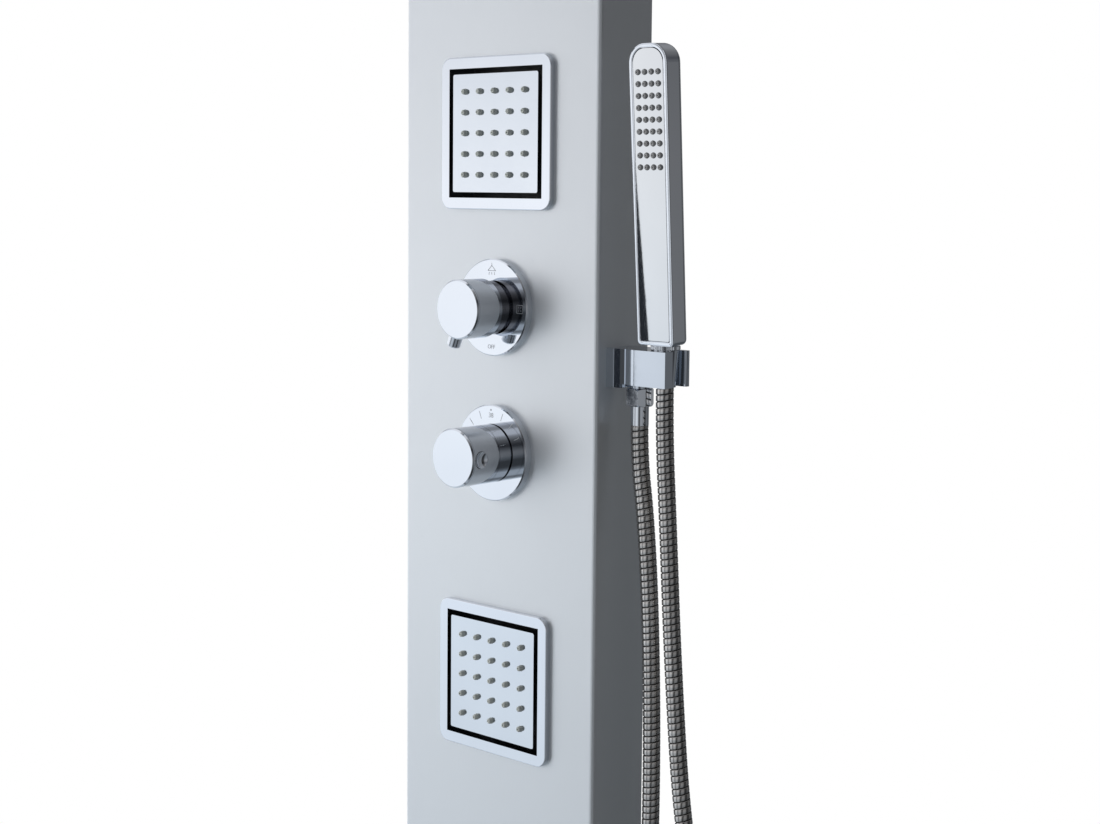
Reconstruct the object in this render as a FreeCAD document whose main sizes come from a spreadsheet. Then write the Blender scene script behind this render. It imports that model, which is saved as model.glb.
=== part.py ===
import FreeCAD, Part
import Sketcher
import math
import os
import re

# Shower panel column. Millimetres, +Z up, +X right as the user faces the panel, +Y into the wall.
# The origin is the middle of the upper wall bracket, on the wall.

SIZES = {
    # sheet column
    "panel_width": 200.0,
    "panel_depth": 58.0,
    "panel_height": 1450.0,
    "panel_top": 150.0,
    "panel_wall": 2.0,
    "panel_corner": 3.0,
    "lip_width": 16.0,
    "cap_plate": 3.0,
    "cap_skirt": 12.0,
    "cap_skirt_wall": 2.0,
    "slip_gap": 0.2,
    # wall brackets and the bars that hang on them
    "bracket_width": 150.0,
    "bracket_above": 20.0,
    "bracket_below": 35.0,
    "bracket_sheet": 2.0,
    "bracket_spacing": 1100.0,
    "fixing_pitch": 120.0,
    "fixing_hole": 6.0,
    "fixing_slot": 12.0,
    "hook_pitch": 100.0,
    "hook_width": 24.0,
    "hook_lip": 15.0,
    "hook_gap": 0.4,
    "bar_tall": 24.0,
    "bar_sheet": 3.0,
    "rivet_radius": 2.0,
    "rivet_head": 3.6,
    "rivet_dome": 1.2,
    "rivet_pitch": 12.0,
    "rivet_inset": 8.0,
    # body jets
    "upper_jet_z": -490.0,
    "lower_jet_z": -904.0,
    "jet_frame": 113.6,
    "jet_opening": 96.4,
    "jet_frame_proud": 4.0,
    "jet_frame_corner": 9.5,
    "jet_frame_edge": 0.9,
    "jet_sleeve_wall": 1.5,
    "jet_recess": 26.0,
    "jet_floor": 3.0,
    "jet_plate": 88.0,
    "jet_plate_corner": 1.5,
    "jet_plate_sheet": 2.5,
    "jet_chamber": 84.0,
    "jet_chamber_deep": 2.5,
    "jet_dome_wide": 30.0,
    "jet_dome_deep": 2.2,
    "jet_ball": 7.0,
    "jet_neck": 4.0,
    "jet_pivot_depth": 16.0,
    "jet_socket": 11.0,
    "jet_socket_over": 4.2,
    "jet_port": 20.0,
    "ball_gap": 0.3,
    "nozzle_pitch": 15.5,
    "nozzle_radius": 2.15,
    "nozzle_tip": 3.2,
    # valves and knobs
    "diverter_z": -619.5,
    "thermostat_z": -729.0,
    "escutcheon_radius": 36.3,
    "escutcheon_thick": 6.0,
    "escutcheon_edge": 0.8,
    "knob_radius": 22.0,
    "knob_edge": 1.1,
    "knob_cap": 1.8,
    "knob_seam": 0.35,
    "knob_wall": 2.4,
    "diverter_reach": 42.0,
    "diverter_skirt": 25.0,
    "thermostat_reach": 46.0,
    "thermostat_skirt": 27.4,
    "collar_radius": 20.2,
    "collar_neck": 18.2,
    "collar_lift": 2.4,
    "ring_lift": 1.1,
    "valve_hole": 17.0,
    "valve_sleeve": 16.0,
    "valve_sleeve_out": 8.0,
    "spindle_radius": 5.0,
    "spindle_fit": 0.05,
    "spindle_tail": 10.0,
    "knob_hub": 9.0,
    "knob_well": 3.5,
    "lever_radius": 5.2,
    "lever_reach": 8.2,
    "lever_seat": 1.3,
    "lever_back": 7.2,
    "lever_turn": 22.0,
    "button_radius": 6.2,
    "button_back": 8.6,
    "button_long": 7.0,
    "button_dish": 9.0,
    "button_dish_deep": 2.2,
    "button_travel": 2.5,
    "button_fit": 0.3,
    "water_depth": 25.5,
    "pipe_depth": 30.5,
    "body_radius": 19.0,
    "body_back": 14.0,
    "port_radius": 7.0,
    "port_long": 9.0,
    "port_step": 9.0,
    "mixer_radius": 17.0,
    "mixer_half": 62.0,
    "inlet_half": 50.0,
    "inlet_radius": 10.45,
    "inlet_long": 24.0,
    "inlet_collar": 11.8,
    "inlet_collar_tall": 4.0,
    "pipe_radius": 5.0,
    "pipe_bore": 3.8,
    "pipe_bend": 12.0,
    "pipe_side": 72.0,
    "pipe_turn": 26.0,
    # hand shower outlet with its fork
    "holder_top": -644.0,
    "holder_base_tall": 28.0,
    "holder_base_long": 13.0,
    "holder_tall": 25.5,
    "holder_long": 55.0,
    "holder_wide": 28.4,
    "holder_waist": 2.6,
    "holder_flare": 26.0,
    "holder_edge": 0.7,
    "socket_out": 42.2,
    "socket_gap": 0.3,
    "fork_slot": 15.0,
    "fork_front": 8.4,
    "fork_tip": 1.8,
    "outlet_out": 19.3,
    "outlet_nipple": 7.0,
    "outlet_nipple_long": 9.0,
    "spigot_radius": 10.0,
    "spigot_long": 20.0,
    "spigot_gap": 0.4,
    "lock_nut_flats": 27.0,
    "lock_nut_thick": 6.0,
    "washer_thick": 1.5,
    "washer_radius": 15.0,
    "water_bore": 4.2,
    # hose and its ends
    "hose_radius": 6.4,
    "hose_groove": 5.75,
    "hose_bore": 4.2,
    "hose_nut_flats": 18.0,
    "hose_nut_tall": 13.0,
    "hose_nut_floor": 3.0,
    "hose_nut_drop": 3.0,
    "ferrule_radius": 6.5,
    "ferrule_long": 13.9,
    "cone_top": 9.9,
    "cone_foot": 7.7,
    "cone_long": 26.0,
    "cone_rim": 10.3,
    "cone_rim_tall": 3.2,
    "cone_thread": 7.3,
    "cone_thread_deep": 10.0,
    # hand shower
    "handset_long": 210.0,
    "handset_foot": 32.2,
    "handset_head": 33.4,
    "handset_front": 11.5,
    "handset_back": 7.2,
    "handset_crown": 13.6,
    "handset_heel": 3.0,
    "handset_round": 5.5,
    "handset_edge": 0.7,
    "handset_lean": 3.6,
    "handset_lift": 4.6,
    "handset_border": 2.9,
    "handset_groove": 0.4,
    "handset_plate": 1.4,
    "handset_ledge": 2.2,
    "handset_chamber": 9.0,
    "collar_flange": 8.6,
    "collar_flange_tall": 0.4,
    "handset_thread": 7.0,
    "handset_thread_long": 9.0,
    "spray_row_pitch": 8.2,
    "spray_column_pitch": 6.0,
    "spray_first_row": 19.5,
    "spray_radius": 1.9,
    "spray_tip": 1.5,
    # overhead shower
    "rain_z": 90.0,
    "rain_reach": 330.0,
    "rain_drop": 52.0,
    "rain_bend": 38.0,
    "rain_tube": 11.0,
    "rain_tube_bore": 8.5,
    "rain_flange": 28.0,
    "rain_flange_thick": 5.0,
    "rain_flange_edge": 1.5,
    "rain_fitting": 13.0,
    "rain_fitting_front": 50.0,
    "rain_fitting_back": 18.0,
    "rain_port": 6.0,
    "rain_collar": 13.5,
    "rain_collar_tall": 10.0,
    "rain_neck": 4.5,
    "rain_neck_long": 13.0,
    "rain_ball": 9.0,
    "rain_nut": 15.0,
    "rain_nut_top": 5.5,
    "rain_nut_foot": 12.0,
    "rain_head": 220.0,
    "rain_head_corner": 18.0,
    "rain_head_tall": 8.0,
    "rain_head_edge": 2.0,
    "rain_dome": 50.0,
    "rain_dome_tall": 4.0,
    "rain_face": 204.0,
    "rain_face_corner": 10.0,
    "rain_face_sheet": 1.2,
    "rain_ledge": 5.0,
    "rain_skin": 1.6,
    "rain_nozzle_pitch": 28.0,
}

# Hose route outside its two nuts: (x, y, z) of each point, from the outlet ferrule, down round the
# free loop and up to the cone under the hand shower.
HOSE_ROUTE = [
    (119.3, -32.5, -699.4),
    (119.3, -32.5, -723.0),
    (126.6, -32.7, -768.0),
    (132.6, -33.0, -842.0),
    (136.0, -33.6, -938.0),
    (135.6, -34.4, -1035.0),
    (128.5, -35.4, -1125.0),
    (117.0, -36.4, -1205.0),
    (111.2, -37.4, -1268.0),
    (114.0, -38.2, -1319.3),
    (133.3, -38.8, -1352.7),
    (166.7, -39.2, -1372.0),
    (205.3, -39.2, -1372.0),
    (238.7, -38.9, -1352.7),
    (258.0, -38.4, -1319.3),
    (260.0, -37.7, -1268.0),
    (248.0, -36.8, -1206.0),
    (221.0, -35.8, -1140.0),
    (188.0, -34.8, -1070.0),
    (165.0, -33.8, -985.0),
    (153.5, -33.0, -868.0),
    (147.0, -32.7, -768.0),
    (142.2, -32.5, -704.0),
    (142.2, -32.5, -670.0),
]
HOSE_RIBS = 100
JET_ROWS = 5
RAIN_ROWS = 7

doc = FreeCAD.newDocument("ShowerPanel")
sheet = doc.addObject("Spreadsheet::Sheet", "Sizes")
for row, (alias, number) in enumerate(SIZES.items(), 1):
    sheet.set("A%d" % row, alias)
    sheet.set("B%d" % row, str(number))
    sheet.setAlias("B%d" % row, alias)
doc.recompute()

SUBPARTS = []


def size(alias):
    return float(sheet.get(alias))


def formula(text):
    # a formula in plain size names becomes one that the sheet's cells answer
    return re.sub(r"[a-z]+(?:_[a-z]+)*", lambda m: "Sizes." + m.group(0) if m.group(0) in SIZES else m.group(0), text)


def bind(thing, path, text):
    thing.setExpression(path, formula(text))


def keep(thing, label):
    thing.Label = label
    SUBPARTS.append(thing)
    return thing


def place(thing, x="0", y="0", z="0"):
    for path, text in (("x", x), ("y", y), ("z", z)):
        if text != "0":
            bind(thing, "Placement.Base." + path, text)
    return thing


# ---- sketches and features ----

def newBody(label, x="0", y="0", z="0"):
    body = doc.addObject("PartDesign::Body", label)
    body.AllowCompound = True
    place(body, x, y, z)
    return keep(body, label)


def originPlane(body, role):
    return [f for f in body.Origin.OriginFeatures if f.Role == role][0]


def sketchOn(body, role, lift="0"):
    sketch = body.newObject("Sketcher::SketchObject", body.Name + "_sketch")
    sketch.AttachmentSupport = (originPlane(body, role), [""])
    sketch.MapMode = "FlatFace"
    if lift != "0":
        bind(sketch, "AttachmentOffset.Base.z", lift)
    return sketch


def pin(sketch, edge, point, x, y):
    for kind, text in (("DistanceX", x), ("DistanceY", y)):
        row = sketch.addConstraint(Sketcher.Constraint(kind, edge, point, 5.0))
        bind(sketch, "Constraints[%d]" % row, text)


def polygon(sketch, points):
    # closed outline; every corner is pinned by two bound distances
    first = sketch.GeometryCount
    count = len(points)
    start = [FreeCAD.Vector(10.0 + 7 * i, 5.0 + 3 * (i * i % 11), 0) for i in range(count)]
    for i in range(count):
        sketch.addGeometry(Part.LineSegment(start[i], start[(i + 1) % count]), False)
    for i in range(count):
        following = first + (i + 1) % count
        sketch.addConstraint(Sketcher.Constraint("Coincident", first + i, 2, following, 1))
    for i, (x, y) in enumerate(points):
        pin(sketch, first + i, 1, x, y)


def rectangle(sketch, x0, x1, y0, y1):
    polygon(sketch, [(x0, y0), (x1, y0), (x1, y1), (x0, y1)])


def square(sketch, side, grow="0"):
    half = "(%s)/2 + %s" % (side, grow)
    rectangle(sketch, "-(%s)" % half, half, "-(%s)" % half, half)


def circle(sketch, x, y, radius):
    edge = sketch.addGeometry(Part.Circle(FreeCAD.Vector(3, 4, 0), FreeCAD.Vector(0, 0, 1), 2.0), False)
    row = sketch.addConstraint(Sketcher.Constraint("Radius", edge, 2.0))
    bind(sketch, "Constraints[%d]" % row, radius)
    pin(sketch, edge, 3, x, y)


def pad(body, sketch, length, back=False):
    feature = body.newObject("PartDesign::Pad", body.Name + "_pad")
    feature.Profile = sketch
    bind(feature, "Length", length)
    feature.Reversed = back
    return feature


def pocket(body, sketch, length, ahead=False):
    feature = body.newObject("PartDesign::Pocket", body.Name + "_pocket")
    feature.Profile = sketch
    bind(feature, "Length", length)
    feature.Reversed = ahead
    return feature


def turned(body, points, axis="Z", cut=False):
    # profile of (radius, along) points turned about one of the body's axes
    role = {"Z": "XZ_Plane", "Y": "XY_Plane", "X": "XY_Plane"}[axis]
    sketch = sketchOn(body, role)
    polygon(sketch, [(along, radius) for radius, along in points] if axis == "X" else points)
    kind = "PartDesign::Groove" if cut else "PartDesign::Revolution"
    feature = body.newObject(kind, body.Name + "_turned")
    feature.Profile = sketch
    feature.ReferenceAxis = (sketch, ["H_Axis" if axis == "X" else "V_Axis"])
    feature.Angle = 360.0
    return feature


def cutter(body, kind, sizes, x="0", y="0", z="0", turn=None):
    # subtractive ball, cone or cylinder; turn is a rotation about the body's Y axis
    feature = body.newObject("PartDesign::Subtractive" + kind, body.Name + "_" + kind.lower())
    feature.AttachmentSupport = (originPlane(body, "XY_Plane"), [""])
    feature.MapMode = "FlatFace"
    for path, text in sizes.items():
        bind(feature, path, text)
    if turn:
        feature.AttachmentOffset = FreeCAD.Placement(FreeCAD.Vector(), FreeCAD.Rotation(ALONG_Y, 30))
        bind(feature, "AttachmentOffset.Rotation.Angle", turn)
    for path, text in (("x", x), ("y", y), ("z", z)):
        if text != "0":
            bind(feature, "AttachmentOffset.Base." + path, text)
    return feature


def ballSeat(body, radius, **at):
    return cutter(body, "Sphere", {"Radius": radius}, **at)


def parallel(edge, direction):
    if edge.Curve.TypeId != "Part::GeomLine":
        return False
    return abs(abs(edge.Curve.Direction.dot(direction)) - 1) < 1e-6


def fillet(body, radius, test, kind="Fillet"):
    doc.recompute()
    base = body.Tip
    names = ["Edge%d" % (i + 1) for i, edge in enumerate(base.Shape.Edges) if test(edge)]
    feature = body.newObject("PartDesign::" + kind, body.Name + "_" + kind.lower())
    feature.Base = (base, names)
    bind(feature, "Radius" if kind == "Fillet" else "Size", radius)
    return feature


ALONG_X = FreeCAD.Vector(1, 0, 0)
ALONG_Y = FreeCAD.Vector(0, 1, 0)
ALONG_Z = FreeCAD.Vector(0, 0, 1)


def mid(edge):
    return edge.valueAt((edge.FirstParameter + edge.LastParameter) / 2)


def arcPath(points, bendOf):
    # straight runs joined by tangent arcs; bendOf gives the radius at each inner point
    edges = []
    here = points[0]
    radii = []
    for i in range(1, len(points) - 1):
        before = (points[i - 1] - points[i]).normalize()
        after = (points[i + 1] - points[i]).normalize()
        half = (math.pi - before.getAngle(after)) / 2
        radius = bendOf(i, half)
        setback = radius * math.tan(half)
        start = points[i] + before * setback
        end = points[i] + after * setback
        inward = (before + after).normalize()
        middle = points[i] + inward * (radius / math.cos(half) - radius)
        if (start - here).Length > 1e-6:
            edges.append(Part.LineSegment(here, start).toShape())
        edges.append(Part.Arc(start, middle, end).toShape())
        radii.append(radius)
        here = end
    edges.append(Part.LineSegment(here, points[-1]).toShape())
    return Part.Wire(edges), radii


def tube(label, points, outer, bore, bend):
    # bent metal tube with a round bore, open at both ends
    path, radii = arcPath(points, lambda i, half: bend)
    axis = points[1] - points[0]
    solids = [path.makePipe(Part.Face(Part.Wire(Part.makeCircle(radius, points[0], axis)))) for radius in (outer, bore)]
    thing = doc.addObject("Part::Feature", label)
    thing.Shape = solids[0].cut(solids[1])
    return keep(thing, label)


# ---- column ----

def columnShell():
    body = newBody("column_shell")
    side = "panel_width/2"
    front = "panel_depth"
    profile = sketchOn(body, "XY_Plane", "panel_top - panel_height")
    right = [
        ("%s", "-panel_depth"),
        ("%s", "0"),
        ("%s - lip_width", "0"),
        ("%s - lip_width", "-panel_wall"),
        ("%s - panel_wall", "-panel_wall"),
        ("%s - panel_wall", "-panel_depth + panel_wall"),
    ]
    corners = [(x % side, y) for x, y in right]
    polygon(profile, corners + [("-(%s)" % x, y) for x, y in reversed(corners)])
    pad(body, profile, "panel_height")
    fillet(body, "panel_corner", lambda e: parallel(e, ALONG_Z) and abs(abs(mid(e).x) - size("panel_width") / 2) < 0.01)
    jets = sketchOn(body, "XZ_Plane", front)
    for z in ("upper_jet_z", "lower_jet_z"):
        half = "jet_opening/2 + jet_sleeve_wall + slip_gap*2"
        rectangle(jets, "-(%s)" % half, half, "%s - (%s)" % (z, half), "%s + %s" % (z, half))
    for z, radius in (("diverter_z", "valve_hole"), ("thermostat_z", "valve_hole"), ("rain_z", "rain_tube + 1")):
        circle(jets, "0", z, radius)
    pocket(body, jets, "panel_wall + 1")
    outlet = sketchOn(body, "YZ_Plane", side)
    circle(outlet, "water_depth - panel_depth", "holder_top - holder_tall/2", "spigot_radius + spigot_gap")
    pocket(body, outlet, "panel_wall + 1")
    rivets = sketchOn(body, "XZ_Plane", "panel_wall + 1")
    rivetCircles(rivets, "rivet_radius + spindle_fit")
    pocket(body, rivets, "panel_wall + 2")


def barMiddle(bracket):
    # height of the middle of the bar that hangs on this bracket's hooks
    return "%s - bracket_below + bracket_sheet + bar_tall/2" % bracket


def rivetCircles(sketch, radius, only=None):
    for bracket in ("0", "-bracket_spacing"):
        if only is not None and bracket != only:
            continue
        for x in ("panel_width/2 - rivet_inset", "-(panel_width/2 - rivet_inset)"):
            for step in ("-rivet_pitch/2", "+ rivet_pitch/2"):
                circle(sketch, x, barMiddle(bracket) + step, radius)


def endCap(label, z, below):
    body = newBody(label, z=z)
    plate = sketchOn(body, "XY_Plane")
    rectangle(plate, "-panel_width/2", "panel_width/2", "-panel_depth", "0")
    pad(body, plate, "cap_plate", back=below)
    fillet(body, "panel_corner", lambda e: parallel(e, ALONG_Z))
    skirt = sketchOn(body, "XY_Plane")
    for inset in ("panel_wall + slip_gap", "panel_wall + slip_gap + cap_skirt_wall"):
        wide = "panel_width/2 - (%s)" % inset
        rectangle(skirt, "-(%s)" % wide, wide, "-panel_depth + %s" % inset, "-(%s)" % inset)
    pad(body, skirt, "cap_skirt", back=not below)


def wallBracket(label, z):
    body = newBody(label, z=z)
    plate = sketchOn(body, "XZ_Plane")
    rectangle(plate, "-bracket_width/2", "bracket_width/2", "-bracket_below", "bracket_above")
    pad(body, plate, "bracket_sheet")
    for x in ("hook_pitch/2", "-hook_pitch/2"):
        hook = sketchOn(body, "YZ_Plane", "%s - hook_width/2" % x)
        out = "bracket_sheet*2 + bar_sheet + hook_gap"
        polygon(hook, [
            ("-bracket_sheet/2", "-bracket_below"),
            ("-(%s)" % out, "-bracket_below"),
            ("-(%s)" % out, "hook_lip - bracket_below"),
            ("bracket_sheet - (%s)" % out, "hook_lip - bracket_below"),
            ("bracket_sheet - (%s)" % out, "bracket_sheet - bracket_below"),
            ("-bracket_sheet/2", "bracket_sheet - bracket_below"),
        ])
        pad(body, hook, "hook_width")
    slots = sketchOn(body, "XZ_Plane", "bracket_sheet")
    ends = sketchOn(body, "XZ_Plane", "bracket_sheet")
    for x in ("fixing_pitch/2", "-fixing_pitch/2"):
        reach = "(fixing_slot - fixing_hole)/2"
        rectangle(slots, "%s - %s" % (x, reach), "%s + %s" % (x, reach), "-fixing_hole/2", "fixing_hole/2")
        circle(ends, "%s - %s" % (x, reach), "0", "fixing_hole/2")
        circle(ends, "%s + %s" % (x, reach), "0", "fixing_hole/2")
    pocket(body, slots, "bracket_sheet")
    pocket(body, ends, "bracket_sheet")


def hangerBar(label, bracket):
    body = newBody(label)
    wide = "panel_width/2 - panel_wall - slip_gap"
    face = sketchOn(body, "XZ_Plane", "panel_wall")
    middle = barMiddle(bracket)
    rectangle(face, "-(%s)" % wide, wide, "%s - bar_tall/2" % middle, "%s + bar_tall/2" % middle)
    pad(body, face, "bar_sheet")
    holes = sketchOn(body, "XZ_Plane", "panel_wall + bar_sheet")
    rivetCircles(holes, "rivet_radius + spindle_fit", bracket)
    pocket(body, holes, "bar_sheet")


def hangerRivets():
    body = newBody("hanger_rivets")
    shanks = sketchOn(body, "XZ_Plane")
    rivetCircles(shanks, "rivet_radius")
    pad(body, shanks, "panel_wall + bar_sheet + 0.1")
    heads = sketchOn(body, "XZ_Plane", "panel_wall + bar_sheet")
    rivetCircles(heads, "rivet_head")
    pad(body, heads, "rivet_dome")


# ---- body jets ----

def nozzleGrid(sketch, rows, pitch, radius):
    # square grid of round nozzles about the sketch's origin
    for i in range(rows):
        for j in range(rows):
            step = "(%g - (%d - 1)/2)*%s"
            circle(sketch, step % (i, rows, pitch), step % (j, rows, pitch), radius)


def bodyJet(side, z):
    front = "-panel_depth"
    pivot = "jet_pivot_depth - jet_frame_proud"
    sleeveEnd = "jet_recess - jet_frame_proud"

    frame = newBody(side + "_jet_frame", y=front, z=z)
    face = sketchOn(frame, "XZ_Plane")
    square(face, "jet_frame")
    pad(frame, face, "jet_frame_proud")
    fillet(frame, "jet_frame_corner", lambda e: parallel(e, ALONG_Y))
    fillet(frame, "jet_frame_edge", lambda e: abs(mid(e).y + size("jet_frame_proud")) < 0.01)
    sleeve = sketchOn(frame, "XZ_Plane")
    square(sleeve, "jet_opening", "jet_sleeve_wall")
    pad(frame, sleeve, sleeveEnd, back=True)
    opening = sketchOn(frame, "XZ_Plane", "jet_frame_proud")
    square(opening, "jet_opening")
    pocket(frame, opening, "jet_recess")

    housing = newBody(side + "_jet_housing", y=front, z=z)
    floor = sketchOn(housing, "XZ_Plane", "-(%s)" % sleeveEnd)
    square(floor, "jet_opening", "jet_sleeve_wall")
    pad(housing, floor, "jet_floor", back=True)
    lip = "%s - jet_socket_over" % pivot
    turned(housing, [("0", lip), ("jet_socket", lip), ("jet_socket", sleeveEnd + "+ jet_floor"),
                     ("0", sleeveEnd + "+ jet_floor")], "Y")
    portOn(housing, "YZ_Plane", "pipe_depth", "0", "port_radius", "port_radius + jet_port", back=True)
    ballSeat(housing, "jet_ball + ball_gap", y=pivot)
    turned(housing, [("0", pivot), ("water_bore", pivot), ("water_bore", "pipe_depth"), ("0", "pipe_depth")],
           "Y", cut=True)
    bore = sketchOn(housing, "YZ_Plane", "-jet_port")
    circle(bore, "pipe_depth", "0", "pipe_bore")
    pocket(housing, bore, "jet_port", ahead=True)

    ball = doc.addObject("Part::Sphere", side + "_jet_ball")
    bind(ball, "Radius", "jet_ball")
    place(ball, y="%s + %s" % (front, pivot), z=z)
    keep(ball, side + "_jet_ball")

    plate = newBody(side + "_jet_plate", y=front, z=z)
    face = sketchOn(plate, "XZ_Plane", "jet_frame_proud - jet_plate_sheet")
    square(face, "jet_plate")
    pad(plate, face, "jet_plate_sheet")
    fillet(plate, "jet_plate_corner", lambda e: parallel(e, ALONG_Y))

    chamber = newBody(side + "_jet_chamber", y=front, z=z)
    deep = "jet_plate_sheet + jet_chamber_deep - jet_frame_proud"
    face = sketchOn(chamber, "XZ_Plane", "-(%s)" % deep)
    square(face, "jet_chamber")
    pad(chamber, face, "jet_chamber_deep")
    domeEnd = "%s + jet_dome_deep" % deep
    turned(chamber, [("0", deep + "- 1"), ("jet_dome_wide", deep + "- 1"), ("jet_dome_wide", deep),
                     ("jet_neck*2", domeEnd), ("jet_neck", domeEnd), ("jet_neck", pivot), ("0", pivot)], "Y")
    ballSeat(chamber, "jet_ball + ball_gap", y=pivot)

    nozzles = newBody(side + "_jet_nozzles", y=front, z=z)
    grid = sketchOn(nozzles, "XZ_Plane", "jet_frame_proud")
    nozzleGrid(grid, JET_ROWS, "nozzle_pitch", "nozzle_radius")
    pad(nozzles, grid, "nozzle_tip")


# ---- valves and knobs ----

def escutcheon(label, z):
    body = newBody(label, y="-panel_depth", z=z)
    turned(body, [("valve_sleeve + slip_gap", "0"), ("escutcheon_radius", "0"),
                  ("escutcheon_radius", "escutcheon_edge - escutcheon_thick"),
                  ("escutcheon_radius - escutcheon_edge", "-escutcheon_thick"),
                  ("valve_sleeve + slip_gap", "-escutcheon_thick")], "Y")


def valveBody(label, z):
    # brass body behind the panel, its sleeve through the front sheet and the cartridge bore
    body = newBody(label, y="-panel_depth", z=z)
    turned(body, [("0", "panel_depth - body_back"), ("body_radius", "panel_depth - body_back"),
                  ("body_radius", "panel_wall"), ("valve_sleeve", "panel_wall"),
                  ("valve_sleeve", "-(escutcheon_thick + valve_sleeve_out)"),
                  ("0", "-(escutcheon_thick + valve_sleeve_out)")], "Y")
    return body


def valveBore(body):
    bore = "spindle_radius + spindle_fit"
    floor = "spindle_tail + slip_gap"
    turned(body, [("0", floor), (bore, floor), (bore, "-(escutcheon_thick + valve_sleeve_out + 1)"),
                  ("0", "-(escutcheon_thick + valve_sleeve_out + 1)")], "Y", cut=True)


def portOn(body, plane, x, y, lift, length, radius="port_radius", back=False):
    sketch = sketchOn(body, plane, lift)
    circle(sketch, x, y, radius)
    return pad(body, sketch, length, back=back)


def diverterBody():
    body = valveBody("diverter_body", "diverter_z")
    middle = "pipe_depth"
    for step in ("port_step", "-port_step"):
        portOn(body, "YZ_Plane", middle, step, "0", "body_radius + port_long", back=True)
    portOn(body, "YZ_Plane", middle, "0", "0", "body_radius + port_long")
    for back in (False, True):
        portOn(body, "XY_Plane", "0", middle, "0", "body_radius + port_long", back=back)
    valveBore(body)


def mixerBody():
    body = valveBody("mixer_body", "thermostat_z")
    middle = "pipe_depth"
    bar = sketchOn(body, "YZ_Plane", "-mixer_half")
    circle(bar, middle, "0", "mixer_radius")
    pad(body, bar, "mixer_half*2")
    portOn(body, "XY_Plane", "0", middle, "0", "mixer_radius + port_long")
    for x in ("inlet_half", "-inlet_half"):
        collarEnd = "mixer_radius + inlet_collar_tall"
        portOn(body, "XY_Plane", x, middle, "0", collarEnd, "inlet_collar", back=True)
        portOn(body, "XY_Plane", x, middle, "0", collarEnd + "+ inlet_long", "inlet_radius", back=True)
        bore = sketchOn(body, "XY_Plane", "-(%s + inlet_long)" % collarEnd)
        circle(bore, x, middle, "port_radius")
        pocket(body, bore, collarEnd + "+ inlet_long", ahead=True)
    valveBore(body)


def spindle(label, z, reach):
    # shaft: turns in the cartridge bore and carries the knob at its front end
    body = newBody(label, y="-panel_depth", z=z)
    front = "-(%s - knob_cap - knob_well)" % reach
    turned(body, [("0", front), ("spindle_radius", front), ("spindle_radius", "spindle_tail"),
                  ("0", "spindle_tail")], "Y")


def knobShell(label, z, reach, skirt):
    # hollow skirt, open to the rear, on a hub that grips the spindle
    body = newBody(label, y="-panel_depth", z=z)
    face = "-(%s - knob_cap)" % reach
    rear = "-(%s - %s)" % (reach, skirt)
    well = face + "+ knob_well"
    web = well + "+ knob_wall"
    turned(body, [("spindle_radius", well), ("spindle_radius + knob_wall", well), ("spindle_radius + knob_wall", face),
                  ("knob_radius - knob_seam", face), ("knob_radius - knob_seam", face + "+ knob_seam"),
                  ("knob_radius", face + "+ knob_seam"), ("knob_radius", rear),
                  ("knob_radius - knob_wall", rear), ("knob_radius - knob_wall", web),
                  ("knob_hub", web), ("knob_hub", rear), ("spindle_radius", rear)], "Y")
    return body


def knobCap(label, z, reach):
    body = newBody(label, y="-panel_depth", z=z)
    turned(body, [("0", "-%s" % reach), ("knob_radius - knob_edge", "-%s" % reach),
                  ("knob_radius", "-(%s - knob_edge)" % reach), ("knob_radius", "-(%s - knob_cap)" % reach),
                  ("0", "-(%s - knob_cap)" % reach)], "Y")


def diverter():
    z = "diverter_z"
    escutcheon("diverter_escutcheon", z)
    diverterBody()
    collar = newBody("diverter_collar", y="-panel_depth", z=z)
    top = "-(diverter_reach - diverter_skirt - 0.3)"
    turned(collar, [("valve_sleeve", "-escutcheon_thick"), ("collar_neck", "-escutcheon_thick"),
                    ("collar_neck", "-(escutcheon_thick + collar_lift)"),
                    ("collar_radius", "-(escutcheon_thick + collar_lift)"), ("collar_radius", top),
                    ("knob_hub + 1", top), ("knob_hub + 1", "-(escutcheon_thick + valve_sleeve_out)"),
                    ("valve_sleeve", "-(escutcheon_thick + valve_sleeve_out)")], "Y")
    spindle("diverter_spindle", z, "diverter_reach")
    knob = knobShell("diverter_knob", z, "diverter_reach", "diverter_skirt")
    root = "(knob_radius - lever_seat)"
    cutter(knob, "Cylinder", {"Radius": "lever_radius + spindle_fit", "Height": "lever_seat + 1"},
           x="-%s*sin(lever_turn)" % root, y="lever_back - diverter_reach", z="-%s*cos(lever_turn)" % root,
           turn="180 + lever_turn")
    knobCap("diverter_knob_cap", z, "diverter_reach")
    # lever stub on the knob's skirt, a little clockwise of its off mark
    lever = newBody("diverter_lever", y="-panel_depth - diverter_reach + lever_back", z=z)
    lever.Placement = FreeCAD.Placement(lever.Placement.Base, FreeCAD.Rotation(ALONG_Y, size("lever_turn")))
    bind(lever, "Placement.Rotation.Angle", "lever_turn")
    seat = "-(knob_radius - lever_seat)"
    tip = "-(knob_radius + lever_reach)"
    turned(lever, [("0", seat), ("lever_radius", seat), ("lever_radius", tip + "+ knob_edge"),
                   ("lever_radius - knob_edge", tip), ("0", tip)], "Z")


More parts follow.
